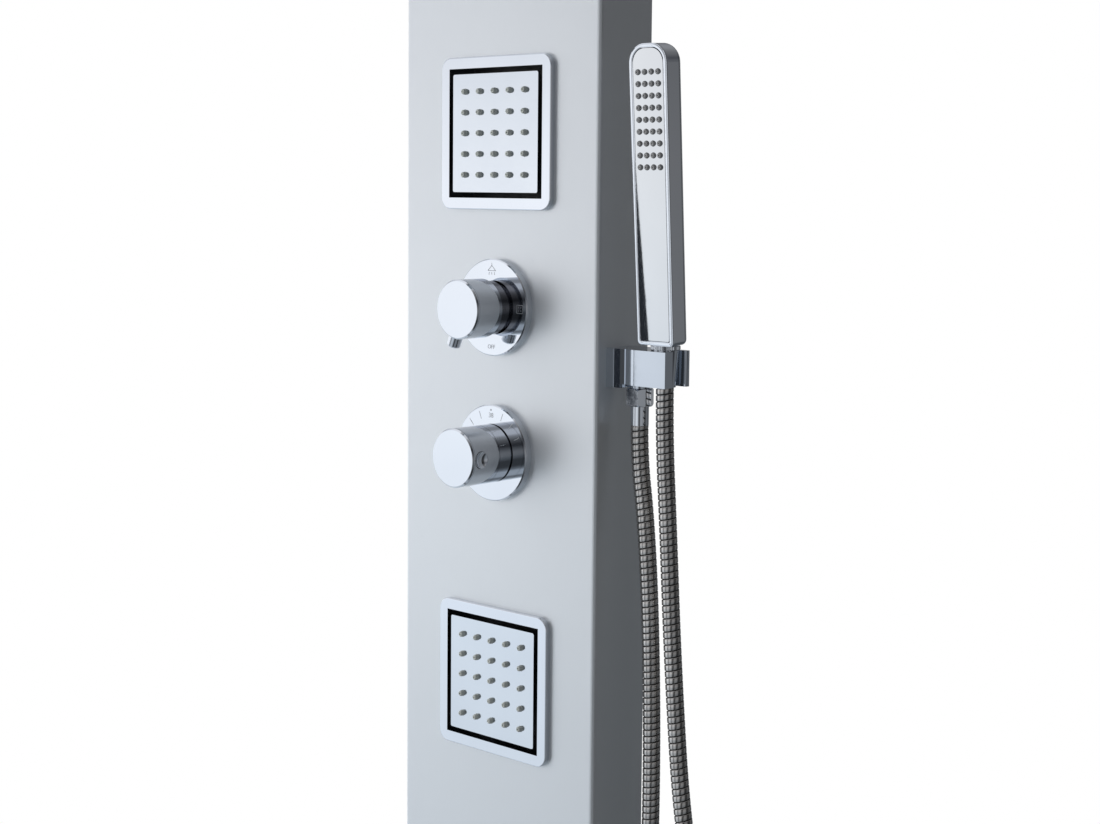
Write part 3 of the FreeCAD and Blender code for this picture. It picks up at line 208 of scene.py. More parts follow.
# light and deep are the two ends of the colour and cloud the fineness of its change; smooth and rough
# are the ends of the roughness; grain is the fineness of the surface pattern, draw its stretch in x, y
# and z, bump and depth its strength and height; water adds the dried drops
finishes = {
    "satinAluminium": {
        "metal": 0.7, "light": (0.84, 0.865, 0.885), "deep": (0.81, 0.835, 0.86), "cloud": 3.0,
        "smooth": 0.36, "rough": 0.44, "grain": 900.0, "draw": (1, 1, 0.06), "bump": 0.06, "depth": 0.00012,
    },
    "polishedChrome": {
        "metal": 1.0, "light": (0.69, 0.72, 0.765), "deep": (0.665, 0.695, 0.74), "cloud": 14.0,
        "smooth": 0.03, "rough": 0.055, "grain": 260.0, "draw": (1, 1, 1), "bump": 0.004, "depth": 0.0001,
        "water": True,
    },
    "plateChrome": {
        "metal": 1.0, "light": (0.66, 0.695, 0.735), "deep": (0.63, 0.665, 0.71), "cloud": 20.0,
        "smooth": 0.08, "rough": 0.14, "grain": 500.0, "draw": (0.3, 1, 1), "bump": 0.02, "depth": 0.0001,
        "water": True,
    },
    "darkChrome": {
        "metal": 1.0, "light": (0.3, 0.3, 0.32), "deep": (0.22, 0.22, 0.24), "cloud": 30.0,
        "smooth": 0.06, "rough": 0.12, "grain": 500.0, "draw": (1, 0.2, 1), "bump": 0.02, "depth": 0.0001,
    },
    "holderChrome": {
        "metal": 1.0, "light": (0.5, 0.54, 0.595), "deep": (0.47, 0.51, 0.565), "cloud": 18.0,
        "smooth": 0.02, "rough": 0.035, "grain": 320.0, "draw": (1, 1, 1), "bump": 0.003, "depth": 0.0001,
        "water": True,
    },
    "sprayFace": {
        "metal": 1.0, "light": (0.62, 0.635, 0.65), "deep": (0.6, 0.615, 0.63), "cloud": 24.0,
        "smooth": 0.01, "rough": 0.02, "grain": 700.0, "draw": (1, 1, 0.15), "bump": 0.002, "depth": 0.0001,
        "water": True,
    },
    "rolledSteel": {
        "metal": 1.0, "light": (0.6, 0.61, 0.62), "deep": (0.5, 0.51, 0.53), "cloud": 22.0,
        "smooth": 0.3, "rough": 0.45, "grain": 500.0, "draw": (0.1, 1, 1), "bump": 0.12, "depth": 0.0002,
    },
    "turnedBrass": {
        "metal": 1.0, "light": (0.78, 0.62, 0.34), "deep": (0.62, 0.46, 0.24), "cloud": 30.0,
        "smooth": 0.18, "rough": 0.34, "grain": 650.0, "draw": (1, 0.25, 1), "bump": 0.1, "depth": 0.0002,
    },
    "drawnTube": {
        "metal": 1.0, "light": (0.72, 0.6, 0.38), "deep": (0.56, 0.42, 0.24), "cloud": 20.0,
        "smooth": 0.2, "rough": 0.36, "grain": 420.0, "draw": (1, 1, 0.2), "bump": 0.08, "depth": 0.0002,
    },
    "mouldedPlastic": {
        "metal": 0.0, "light": (0.032, 0.033, 0.036), "deep": (0.02, 0.021, 0.023), "cloud": 40.0,
        "smooth": 0.42, "rough": 0.6, "grain": 1400.0, "draw": (1, 1, 1), "bump": 0.15, "depth": 0.0002,
    },
    "jetSilicone": {
        "metal": 0.0, "light": (0.84, 0.88, 0.84), "deep": (0.7, 0.74, 0.7), "cloud": 160.0,
        "smooth": 0.42, "rough": 0.58, "grain": 1600.0, "draw": (1, 1, 1), "bump": 0.1, "depth": 0.0001,
    },
    "spraySilicone": {
        "metal": 0.0, "light": (0.5, 0.505, 0.51), "deep": (0.4, 0.405, 0.41), "cloud": 180.0,
        "smooth": 0.36, "rough": 0.52, "grain": 1600.0, "draw": (1, 1, 1), "bump": 0.1, "depth": 0.0001,
    },
    "sealRubber": {
        "metal": 0.0, "light": (0.03, 0.03, 0.032), "deep": (0.02, 0.02, 0.021), "cloud": 60.0,
        "smooth": 0.5, "rough": 0.7, "grain": 1300.0, "draw": (1, 1, 1), "bump": 0.2, "depth": 0.0002,
    },
    "woundStrip": {
        "metal": 1.0, "light": (0.56, 0.54, 0.52), "deep": (0.44, 0.42, 0.4), "cloud": 55.0,
        "smooth": 0.1, "rough": 0.2, "grain": 1500.0, "draw": (1, 1, 1), "bump": 0.08, "depth": 0.0001,
    },
    # painted shade for the faces in the hose's grooves: darker than the strip, where the groove falls into
    # shadow
    "paintedGrooveShade": {
        "metal": 0.6, "light": (0.09, 0.086, 0.08), "deep": (0.06, 0.057, 0.053), "cloud": 90.0,
        "smooth": 0.4, "rough": 0.6, "grain": 1500.0, "draw": (1, 1, 1), "bump": 0.1, "depth": 0.0001,
    },
    "engravedPaint": {
        "metal": 0.0, "light": (0.68, 0.71, 0.75), "deep": (0.58, 0.605, 0.64), "cloud": 400.0,
        "smooth": 0.4, "rough": 0.6, "grain": 2500.0, "draw": (1, 1, 1), "bump": 0.1, "depth": 0.00005,
    },
}


def addGroup(tree, group, place, values):
    node = tree.nodes.new("ShaderNodeGroup")
    node.node_tree = group
    node.location = place
    for label, value in values.items():
        node.inputs[label].default_value = value
    return node


def makeFinish(name, f):
    material = bpy.data.materials.new(name)
    material.use_nodes = True
    tree = material.node_tree
    shader = tree.nodes["Principled BSDF"]
    shader.inputs["Metallic"].default_value = f["metal"]
    tone = addGroup(tree, toneGroup, (-600, 200), {
        "Scale": f["cloud"], "Light": (*f["light"], 1), "Deep": (*f["deep"], 1)})
    tree.links.new(tone.outputs["Color"], shader.inputs["Base Color"])
    grain = addGroup(tree, grainGroup, (-600, -50), {
        "Stretch": f["draw"], "Scale": f["grain"], "Smooth": f["smooth"], "Rough": f["rough"]})
    bump = tree.nodes.new("ShaderNodeBump")
    bump.location = (-250, -250)
    bump.inputs["Strength"].default_value = f["bump"]
    bump.inputs["Distance"].default_value = f["depth"]
    tree.links.new(grain.outputs["Height"], bump.inputs["Height"])
    tree.links.new(bump.outputs["Normal"], shader.inputs["Normal"])
    if f.get("water"):
        water = addGroup(tree, spotGroup, (-350, 0), {
            "Scale": driedWater["scale"], "Dull": driedWater["dull"]})
        tree.links.new(grain.outputs["Roughness"], water.inputs["Roughness"])
        tree.links.new(water.outputs["Roughness"], shader.inputs["Roughness"])
    else:
        tree.links.new(grain.outputs["Roughness"], shader.inputs["Roughness"])
    return material


materials = {name: makeFinish(name, f) for name, f in finishes.items()}
print("materials made:", len(materials))


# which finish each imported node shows
nodeFinishes = {
    "satinAluminium": ["column_shell", "top_cap", "bottom_cap"],
    "polishedChrome": [
        "upper_jet_frame", "lower_jet_frame", "diverter_escutcheon", "diverter_knob", "diverter_knob_cap",
        "diverter_lever", "thermostat_escutcheon", "thermostat_knob", "thermostat_knob_cap",
        "thermostat_ring", "release_button", "hose_outlet_nut", "hose_ferrule", "hose_cone",
        "handset_shell", "handset_collar", "rain_flange", "rain_arm", "rain_stem", "rain_ball_nut",
        "rain_head"],
    "plateChrome": ["upper_jet_plate", "lower_jet_plate"],
    "holderChrome": ["outlet_holder"],
    "darkChrome": ["diverter_collar"],
    "sprayFace": ["handset_plate", "rain_face"],
    "rolledSteel": [
        "upper_wall_bracket", "lower_wall_bracket", "upper_hanger_bar", "lower_hanger_bar",
        "hanger_rivets"],
    "turnedBrass": [
        "diverter_body", "mixer_body", "diverter_spindle", "thermostat_spindle", "rain_fitting",
        "holder_lock_nut", "upper_jet_ball", "lower_jet_ball", "rain_ball"],
    "drawnTube": ["upper_jet_pipe", "lower_jet_pipe", "mixed_water_pipe", "rain_pipe", "handset_pipe"],
    "mouldedPlastic": [
        "upper_jet_housing", "lower_jet_housing", "upper_jet_chamber", "lower_jet_chamber"],
    "sealRubber": ["holder_washer"],
}


def dressNodes():
    for finish, names in nodeFinishes.items():
        for name in names:
            mesh = nodes[name].data
            mesh.materials.clear()
            mesh.materials.append(materials[finish])


dressNodes()
print("packed nodes dressed")


def meshObject(name, bm, finish, smooth=True):
    bmesh.ops.recalc_face_normals(bm, faces=bm.faces)
    mesh = bpy.data.meshes.new(name)
    bm.to_mesh(mesh)
    bm.free()
    if smooth:
        mesh.shade_smooth()
    mesh.materials.append(materials[finish])
    thing = bpy.data.objects.new(name, mesh)
    scene.collection.objects.link(thing)
    return thing


def addLathe(bm, profile, place, steps):
    # profile of (radius, height) pairs turned about local Z; a zero radius closes the end
    turns = [2 * math.pi * i / steps for i in range(steps)]
    rings = []
    for radius, height in profile:
        if radius == 0:
            rings.append([bm.verts.new(place @ Vector((0, 0, height)))])
        else:
            rings.append([bm.verts.new(place @ Vector((radius * math.cos(a), radius * math.sin(a), height)))
                          for a in turns])
    for low, high in zip(rings, rings[1:]):
        for i in range(steps):
            j = (i + 1) % steps
            if len(low) == 1:
                bm.faces.new((low[0], high[i], high[j]))
            elif len(high) == 1:
                bm.faces.new((low[i], low[j], high[0]))
            else:
                bm.faces.new((low[i], low[j], high[j], high[i]))


def joinLoops(bm, loops):
    # faces between neighbouring closed loops of points, and from the last loop back to the first
    for low, high in zip(loops, loops[1:] + loops[:1]):
        for i in range(len(low)):
            j = (i + 1) % len(low)
            bm.faces.new((low[i], low[j], high[j], high[i]))


frontward = Matrix.Rotation(math.radians(90), 4, "X")  # local Z looks along -Y, local Y up
downward = Matrix.Rotation(math.radians(180), 4, "X")  # local Z looks down


# ribbed hose: two strands hang from the outlet and the cone and meet in a U below
hose = {
    "diameter": 0.0128,
    "grooveDepth": 0.00085,
    "ribPitch": 0.0047,
    "length": 1.477,
    "around": 20,  # points round the tube
    "resolution": 48,  # steps of the smooth line for each point of the route
    "route": [
        (0.1193, -0.0325, -0.6994), (0.1193, -0.0325, -0.723), (0.1266, -0.0327, -0.768),
        (0.1326, -0.033, -0.842), (0.136, -0.0336, -0.938), (0.1356, -0.0344, -1.035),
        (0.1285, -0.0354, -1.125), (0.117, -0.0364, -1.205), (0.1112, -0.0374, -1.268),
        (0.114, -0.0382, -1.3193), (0.1333, -0.0388, -1.3527), (0.1667, -0.0392, -1.372),
        (0.2053, -0.0392, -1.372), (0.2387, -0.0389, -1.3527), (0.258, -0.0384, -1.3193),
        (0.26, -0.0377, -1.268), (0.248, -0.0368, -1.206), (0.221, -0.0358, -1.14),
        (0.188, -0.0348, -1.07), (0.165, -0.0338, -0.985), (0.1535, -0.033, -0.868),
        (0.147, -0.0327, -0.768), (0.1422, -0.0325, -0.704), (0.1422, -0.0325, -0.67)],
    # phase along one rib, share of the groove's depth
    "ribShape": [(0.0, 1.0), (0.05, 0.85), (0.09, 0.16), (0.16, 0.0), (0.5, 0.0), (0.84, 0.0),
                 (0.91, 0.16), (0.95, 0.85)],
    "paintedShadeSteps": (0, 1, 6, 7),  # steps of that shape that lie in the groove; their faces get painted shade
}


def splinePoints(h):
    # points along the route's smooth line, as a curve without a bevel gives them
    curve = bpy.data.curves.new("hoseRoute", "CURVE")
    curve.dimensions = "3D"
    spline = curve.splines.new("NURBS")
    spline.points.add(len(h["route"]) - 1)
    for point, place in zip(spline.points, h["route"]):
        point.co = (*place, 1)
    spline.order_u = 3
    spline.use_endpoint_u = True
    spline.resolution_u = h["resolution"]
    holder = bpy.data.objects.new("hoseRoute", curve)
    scene.collection.objects.link(holder)
    bpy.context.view_layer.update()
    line = bpy.data.meshes.new_from_object(holder)
    points = [v.co.copy() for v in line.vertices]
    bpy.data.objects.remove(holder)
    bpy.data.curves.remove(curve)
    bpy.data.meshes.remove(line)
    kept = points[:1]
    for point in points[1:]:
        if (point - kept[-1]).length > 1e-6:  # a point that falls on the last one is left out
            kept.append(point)
    return kept


def walkAlong(points):
    # distances along the line, and a side vector carried along it without twist
    travelled, tangents = [0.0], []
    for a, b in zip(points, points[1:]):
        travelled.append(travelled[-1] + (b - a).length)
    for i in range(len(points)):
        tangents.append((points[min(i + 1, len(points) - 1)] - points[max(i - 1, 0)]).normalized())
    side = tangents[0].orthogonal().normalized()
    sides = []
    for t in tangents:
        side = (side - side.dot(t) * t).normalized()
        sides.append(side.copy())
    return travelled, tangents, sides


def buildHose(h):
    points = splinePoints(h)
    travelled, tangents, sides = walkAlong(points)
    total = travelled[-1]
    ribs = round(total / h["ribPitch"])
    pitch = total / ribs
    around = h["around"]
    perRib = len(h["ribShape"])
    radius = h["diameter"] / 2
    rows = [((rib + phase) * pitch, radius - share * h["grooveDepth"])
            for rib in range(-1, ribs + 1) for phase, share in h["ribShape"]]
    bm = bmesh.new()
    columns, lengths = [], []
    for j in range(around):
        # each column starts a little later, so that the groove winds round like the real strip
        lag = pitch * j / around
        i, column = 0, []
        for start, r in rows:
            s = min(max(start + lag, 0.0), total)
            while i < len(points) - 2 and travelled[i + 1] < s:
                i += 1
            t = (s - travelled[i]) / (travelled[i + 1] - travelled[i])
            centre = points[i].lerp(points[i + 1], t)
            along = tangents[i].lerp(tangents[i + 1], t).normalized()
            side = sides[i].lerp(sides[i + 1], t)
            side = (side - side.dot(along) * along).normalized()
            a = 2 * math.pi * j / around
            out = side * math.cos(a) + along.cross(side) * math.sin(a)
            column.append(bm.verts.new(centre + out * r))
            lengths.append(s)
        columns.append(column)
    for j in range(around):
        a = columns[j]
        b = columns[(j + 1) % around]
        step = perRib if j == around - 1 else 0  # the last column meets the first one rib further on
        for i in range(len(rows) - 1 - step):
            face = bm.faces.new((a[i], b[i + step], b[i + step + 1], a[i + 1]))
            # faces in the groove take the second material, which paints the shade in the grooves
            face.material_index = 1 if i % perRib in h["paintedShadeSteps"] else 0
    tube = meshObject("ribbedHose", bm, "woundStrip")
    tube.data.materials.append(materials["paintedGrooveShade"])
    return tube, points, lengths, total


hoseTube, hosePoints, hoseLengths, hoseTotal = buildHose(hose)
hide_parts("shower_hose")
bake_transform(hoseTube)


print("hose made, %.3f m" % hoseTotal)


# rubber nozzles of the jets and the overhead shower, each in a square of rows
jetNozzles = {
    "radius": 0.00215, "tip": 0.0032, "hole": 0.00055, "pitch": 0.0155, "rows": 5, "steps": 20,
    "upper": (0, -0.062, -0.49), "lower": (0, -0.062, -0.904),
}
rainNozzles = {
    "radius": 0.00215, "tip": 0.0032, "hole": 0.00055, "pitch": 0.028, "rows": 7, "steps": 16,
    "face": (0, -0.388, -0.009),
}


def nozzleProfile(n):
    # foot in the plate, slightly tapered shaft, rounded end and a blind hole
    r, tip, hole = n["radius"], n["tip"], n["hole"]
    return [(r * 1.12, -0.0002), (r * 1.12, 0.0001), (r * 1.03, tip * 0.1), (r, tip * 0.3),
            (r * 0.97, tip * 0.62), (r * 0.86, tip * 0.84), (r * 0.66, tip * 0.96), (hole * 1.5, tip),
            (hole, tip * 0.94), (hole, tip * 0.5), (0.0, tip * 0.5)]


def squareNozzles(name, n, place, body, node):
    bm = bmesh.new()
    offsets = [(i - (n["rows"] - 1) / 2) * n["pitch"] for i in range(n["rows"])]
    for x in offsets:
        for y in offsets:
            addLathe(bm, nozzleProfile(n), place @ Matrix.Translation((x, y, 0)), n["steps"])
    thing = meshObject(name, bm, "jetSilicone")
    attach(thing, body)
    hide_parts(node)


squareNozzles("upperJetTips", jetNozzles, Matrix.Translation(jetNozzles["upper"]) @ frontward,
              "upper_jet_face", "upper_jet_nozzles")
squareNozzles("lowerJetTips", jetNozzles, Matrix.Translation(jetNozzles["lower"]) @ frontward,
              "lower_jet_face", "lower_jet_nozzles")
squareNozzles("rainTips", rainNozzles, Matrix.Translation(rainNozzles["face"]) @ downward,
              "rain_head", "rain_nozzles")


# hand shower: its foot, the lean of its top away from the wall, and the rows of nozzles below the top
handShower = {"foot": (0.1422, -0.0325, -0.6394), "lean": 3.6, "long": 0.21, "front": 0.0115}
sprayNozzles = {
    "radius": 0.00195, "tip": 0.0015, "hole": 0.00045, "steps": 18,
    "across": 4, "pitchAcross": 0.006, "rows": 9, "pitchUp": 0.0082, "fromTop": 0.0195,
}
handShowerLean = Matrix.Rotation(math.radians(handShower["lean"]), 4, "X")
handShowerFrame = Matrix.Translation(handShower["foot"]) @ handShowerLean


def handsetTips(n, h):
    bm = bmesh.new()
    for row in range(n["rows"]):
        for column in range(n["across"]):
            x = (column - (n["across"] - 1) / 2) * n["pitchAcross"]
            z = h["long"] - n["fromTop"] - row * n["pitchUp"]
            spot = handShowerFrame @ Matrix.Translation((x, -h["front"], z)) @ frontward
            addLathe(bm, nozzleProfile(n), spot, n["steps"])
    thing = meshObject("handsetTips", bm, "spraySilicone")
    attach(thing, "handset")
    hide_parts("handset_nozzles")


handsetTips(sprayNozzles, handShower)
print("nozzles made")


# rounded rim of the hand shower, and a dark rubber strip along the seam between it and the spray plate; the
# strip is partly a real seam and partly painted shadow in that seam
rim = {
    "foot": 0.0322, "head": 0.0334,  # widths
    "heel": 0.003, "crown": 0.0136, "cornerSteps": 14,  # radii of the lower and upper corners
    # inset from the shell's outline and height above its front face
    "shape": [(-0.00004, -0.0016), (-0.00004, -0.0005), (0.00004, -0.0002), (0.0003, 0.00004),
              (0.0006, 0.0001), (0.0021, 0.0001), (0.0024, 0.00004), (0.0026, -0.0001),
              (0.00265, -0.0003), (0.00265, -0.0013)],
    "seam": [(0.0026, -0.0006), (0.0026, -0.0001), (0.00332, -0.0001), (0.00332, -0.0006)],
}


def roundedOutline(r, long, inset):
    # tall plate with slanted sides, wide arcs at the top and small ones at the foot
    foot = r["foot"] / 2 - inset
    head = r["head"] / 2 - inset
    top = long - inset
    heel = r["heel"] - inset / 2
    crown = r["crown"] - inset
    corners = [(Vector((-foot, 0, inset)), heel), (Vector((foot, 0, inset)), heel),
               (Vector((head, 0, top)), crown), (Vector((-head, 0, top)), crown)]
    points = []
    for i, (corner, radius) in enumerate(corners):
        before = (corners[i - 1][0] - corner).normalized()
        after = (corners[(i + 1) % 4][0] - corner).normalized()
        half = before.angle(after) / 2
        centre = corner + (before + after).normalized() * radius / math.sin(half)
        first = corner + before * radius / math.tan(half) - centre
        last = corner + after * radius / math.tan(half) - centre
        for k in range(r["cornerSteps"] + 1):
            points.append(centre + first.slerp(last, k / r["cornerSteps"]) * radius)
    return points


def outlineRing(name, r, h, profile, finish):
    bm = bmesh.new()
    loops = []
    for inset, height in profile:
        rise = Vector((0, -h["front"] - height, 0))
        outline = roundedOutline(r, h["long"], inset)
        loops.append([bm.verts.new(handShowerFrame @ (p + rise)) for p in outline])
    joinLoops(bm, loops)
    thing = meshObject(name, bm, finish)
    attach(thing, "handset")


outlineRing("handsetRim", rim, handShower, rim["shape"], "polishedChrome")
# the seam strip is dark rubber that also paints the shadow in the seam
outlineRing("plateSeam", rim, handShower, rim["seam"], "sealRubber")
print("hand shower rim made")


# thin marks on the two escutcheons; their drawings are in millimetres from the middle of each
marks = {
    "millimetre": 0.001,
    "face": -0.064,
    "lift": 0.00002,
    "thick": 0.00003,
    "line": 0.0005,
    "dotSteps": 16,
    "diverterZ": -0.6195,
    # overhead spray at the top: a pointed rose and its jets
    "rose": [((-4, 27.5), (4, 27.5)), ((-4, 27.5), (-0.2, 31.2)), ((4, 27.5), (0.2, 31.2)),
             ((0, 31), (0, 33.4)),
             ((-2.6, 26.4), (-2.99, 24.4)), ((0, 26.4), (0, 24.4)), ((2.6, 26.4), (2.99, 24.4))],
    # body jets at the right: a square plate with four dots
    "plate": [((26, -3), (32, -3)), ((32, -3), (32, 3)), ((32, 3), (26, 3)), ((26, 3), (26, -3))],
    "plateDots": [(27.8, -1.2), (27.8, 1.2), (30.2, -1.2), (30.2, 1.2)],
    "plateDot": 0.00045,
    # hand spray at the left: a slanted rod with its head
    "rod": [((-31, -3.6), (-27.6, 2.6)), ((-29.6, 3.2), (-25.8, 1.2))],
    "rodWidth": 0.0011,
    "off": {"word": "OFF", "size": 0.0044, "spot": (0, -29.5)},
    "thermostatZ": -0.729,
    "number": {"word": "38", "size": 0.0052, "spot": (0, 28.4)},
    "pointer": (0, 32.6),
    "pointerDot": 0.0008,
    "ticks": (-64, -43, -22, 22, 43, 64),  # degrees from the top
    "tickRun": (27, 33),
}


def onEscutcheon(m, z, lift, spot=(0, 0)):
    x, y = (c * m["millimetre"] for c in spot)
    return Matrix.Translation((0, m["face"] - lift, z)) @ frontward @ Matrix.Translation((x, y, 0))


def addStroke(bm, ends, width, z, m):
    # thin flat bar between two points of the face
    a, b = (Vector((x * m["millimetre"], y * m["millimetre"], 0)) for x, y in ends)
    along = (b - a).normalized()
    side = Vector((-along.y, along.x, 0)) * width / 2
    place = onEscutcheon(m, z, m["lift"])
    corners = (a + side, b + side, b - side, a - side)
    low = [bm.verts.new(place @ c) for c in corners]
    high = [bm.verts.new(place @ (c + Vector((0, 0, m["thick"])))) for c in corners]
    bm.faces.new(low)
    bm.faces.new(high)
    for i in range(4):
        j = (i + 1) % 4
        bm.faces.new((low[i], low[j], high[j], high[i]))


def addDot(bm, spot, radius, z, m):
    profile = [(0.0, 0.0), (radius, 0.0), (radius, m["thick"]), (0.0, m["thick"])]
    addLathe(bm, profile, onEscutcheon(m, z, m["lift"], spot), m["dotSteps"])


def addWord(bm, w, z, m):
    curve = bpy.data.curves.new("word", "FONT")
    curve.body = w["word"]
    curve.size = w["size"]
    curve.align_x = "CENTER"
    curve.align_y = "CENTER"
    curve.extrude = m["thick"]
    holder = bpy.data.objects.new("word", curve)
    scene.collection.objects.link(holder)
    bpy.context.view_layer.update()
    letters = bpy.data.meshes.new_from_object(holder)
    letters.transform(onEscutcheon(m, z, m["lift"] + m["thick"], w["spot"]))
    bm.from_mesh(letters)
    bpy.data.objects.remove(holder)
    bpy.data.curves.remove(curve)
    bpy.data.meshes.remove(letters)


def diverterMarks(m):
    bm = bmesh.new()
    z = m["diverterZ"]
    for ends in m["rose"] + m["plate"]:
        addStroke(bm, ends, m["line"], z, m)
    for spot in m["plateDots"]:
        addDot(bm, spot, m["plateDot"], z, m)
    for ends in m["rod"]:
        addStroke(bm, ends, m["rodWidth"], z, m)
    addWord(bm, m["off"], z, m)
    thing = meshObject("diverterMarks", bm, "engravedPaint", smooth=False)
    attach(thing, "panel")


def thermostatMarks(m):
    bm = bmesh.new()
    z = m["thermostatZ"]
    addWord(bm, m["number"], z, m)
    addDot(bm, m["pointer"], m["pointerDot"], z, m)
    for turn in m["ticks"]:
        a = math.radians(90 - turn)
        ends = [(r * math.cos(a), r * math.sin(a)) for r in m["tickRun"]]
        addStroke(bm, ends, m["line"], z, m)
    thing = meshObject("thermostatMarks", bm, "engravedPaint", smooth=False)
    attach(thing, "panel")


diverterMarks(marks)
thermostatMarks(marks)
print("marks made")


# knurled swivel ring under the hand shower; its teeth run out to endShare of their height at both ends
knurl = {
    "centre": (0.1422, -0.0325, 0), "foot": -0.6433, "top": -0.6406, "chamfer": 0.0004, "endShare": 0.35,
    "core": 0.0098, "valley": 0.01034, "crest": 0.01066, "teeth": 54,
}


def swivelKnurl(k):
    bm = bmesh.new()
    count = k["teeth"] * 4  # each tooth has two points on its crest and two in the valley
    centre = Vector(k["centre"])
    layers = []
    for z, share in ((k["foot"], k["endShare"]), (k["foot"] + k["chamfer"], 1.0),
                     (k["top"] - k["chamfer"], 1.0), (k["top"], k["endShare"])):
        crest = k["valley"] + (k["crest"] - k["valley"]) * share
        layers.append((z, [crest if i % 4 in (1, 2) else k["valley"] for i in range(count)]))
    for z in (k["top"], k["foot"]):
        layers.append((z, [k["core"]] * count))
    loops = []
    for z, radii in layers:
        turns = [(r, 2 * math.pi * i / count) for i, r in enumerate(radii)]
        loops.append([bm.verts.new(centre + Vector((r * math.cos(a), r * math.sin(a), z))) for r, a in turns])
    joinLoops(bm, loops)
    thing = meshObject("swivelKnurl", bm, "polishedChrome", smooth=False)
    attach(thing, "hose_cone")


swivelKnurl(knurl)
print("swivel ring made")


# the stage: a white world, a pale floor, a tent that only mirrors see, two black cloths and one lamp
studio = {
    "worldTone": (0.93, 0.96, 1.0),
    "worldForShade": 0.12,  # strength for the rays that only carry light
    "floorZ": -2.0,
    "floorHalf": 14,
    "floorTone": (0.93, 0.94, 0.95),
    # the floor takes the shadow within the first distance, and beyond the second it is plain white
    "shadowPool": (0.9, 2.3),
    "whiteInPool": 0.82,  # how much of the plain white is left within the first distance
}
tent = {
    "centre": (0, 0, -0.6),
    "radius": 6.0,
    # compass bearing in degrees from +X towards +Y, and the tone there
    "round": [(-180, 1.24), (-128.5, 1.22), (-122, 0.5), (-111, 0.32), (-101, 0.85), (-79, 0.85),
              (-69, 0.3), (-60, 0.1), (-49, 0.08), (-41, 0.38), (-12, 0.34), (0, 0.06), (25, 0.05),
              (47, 0.21), (66, 0.08), (90, 0.2), (130, 0.32), (160, 1.0), (170, 1.24)],
    # height in degrees above the middle, and the tint that multiplies it
    "up": [(-90, (0.45, 0.5, 0.55)), (-25, (0.68, 0.74, 0.8)), (-15, (0.81, 0.87, 0.94)),
           (-7, (0.97, 1.0, 1.04)), (1, (1.0, 1.01, 1.04)), (8, (0.78, 0.8, 0.84)),
           (20, (0.46, 0.48, 0.53)), (90, (0.7, 0.71, 0.74))],
    # light from the ceiling, and the sines of the heights where it starts and is full
    "ceiling": 0.2,
    "ceilingFrom": (0.3, 0.8),
}
flags = {
    "away": 1.6,
    "tone": (0.028, 0.032, 0.04),
    # each flag darkens part of a mirror face: x and z of its corners on that face, the face's y at a
    # height, and the face's lean
    "plateFlag": {"corners": [(0.12, -0.505), (0.1286, -0.515), (0.1368, -0.642), (0.12, -0.642)],
                  "y": -0.044, "z": -0.6394, "lean": 3.6},
    "holderFlag": {"corners": [(0.094, -0.636), (0.1243, -0.636), (0.127, -0.68), (0.094, -0.68)],
                   "y": -0.0484, "z": -0.644, "lean": 0.0},
}
softbox = {"place": (-1.2, -1.4, -0.3), "aim": (0, -0.1, -0.6), "wide": 1.2, "high": 1.5, "watts": 17}


def seeingRays(tree):
    # 1 for camera, mirror and glass rays, 0 for the rays that only carry light
    path = tree.nodes.new("ShaderNodeLightPath")
    seen = mathNode(tree, "MAXIMUM", path.outputs["Is Camera Ray"], path.outputs["Is Glossy Ray"])
    return mathNode(tree, "MAXIMUM", seen, path.outputs["Is Transmission Ray"])


def makeWorld(s):
    world = bpy.data.worlds.new("studioWorld")
    scene.world = world
    world.use_nodes = True
    tree = world.node_tree
    tree.nodes.clear()
    soft = tree.nodes.new("ShaderNodeBackground")
    soft.inputs["Color"].default_value = (*s["worldTone"], 1)
    soft.inputs["Strength"].default_value = s["worldForShade"]
    white = tree.nodes.new("ShaderNodeBackground")
    white.inputs["Color"].default_value = (1, 1, 1, 1)
    white.inputs["Strength"].default_value = 1.0
    mix = tree.nodes.new("ShaderNodeMixShader")
    end = tree.nodes.new("ShaderNodeOutputWorld")
    tree.links.new(seeingRays(tree), mix.inputs[0])
    tree.links.new(soft.outputs[0], mix.inputs[1])
    tree.links.new(white.outputs[0], mix.inputs[2])
    tree.links.new(mix.outputs[0], end.inputs["Surface"])


def bareMaterial(name):
    material = bpy.data.materials.new(name)
    material.use_nodes = True
    material.node_tree.nodes.clear()
    return material


def floorMaterial(s):
    material = bareMaterial("paleFloor")
    tree = material.node_tree
    # away from the object the floor is plain white; near it, it holds the shadow
    coords = tree.nodes.new("ShaderNodeTexCoord")
    reach = tree.nodes.new("ShaderNodeVectorMath")
    reach.operation = "LENGTH"
    tree.links.new(coords.outputs["Object"], reach.inputs[0])
    pool = spread(tree, reach.outputs["Value"], s["whiteInPool"], 1.0, *s["shadowPool"], "SMOOTHSTEP")
    share = mathNode(tree, "MULTIPLY", seeingRays(tree), pool)
    matt = tree.nodes.new("ShaderNodeBsdfDiffuse")
    matt.inputs["Color"].default_value = (*s["floorTone"], 1)
    white = tree.nodes.new("ShaderNodeEmission")
    white.inputs["Strength"].default_value = 1.0
    mix = tree.nodes.new("ShaderNodeMixShader")
    end = tree.nodes.new("ShaderNodeOutputMaterial")
    tree.links.new(share, mix.inputs[0])
    tree.links.new(matt.outputs[0], mix.inputs[1])
    tree.links.new(white.outputs[0], mix.inputs[2])
    tree.links.new(mix.outputs[0], end.inputs["Surface"])
    return material


def colourRamp(tree, value, stops):
    ramp = tree.nodes.new("ShaderNodeValToRGB")
    elements = ramp.color_ramp.elements
    while len(elements) < len(stops):
        elements.new(0.5)
    for element, (spot, tone) in zip(elements, stops):
        element.position = spot
        element.color = (*tone, 1)
    tree.links.new(value, ramp.inputs["Fac"])
    return ramp.outputs["Color"]


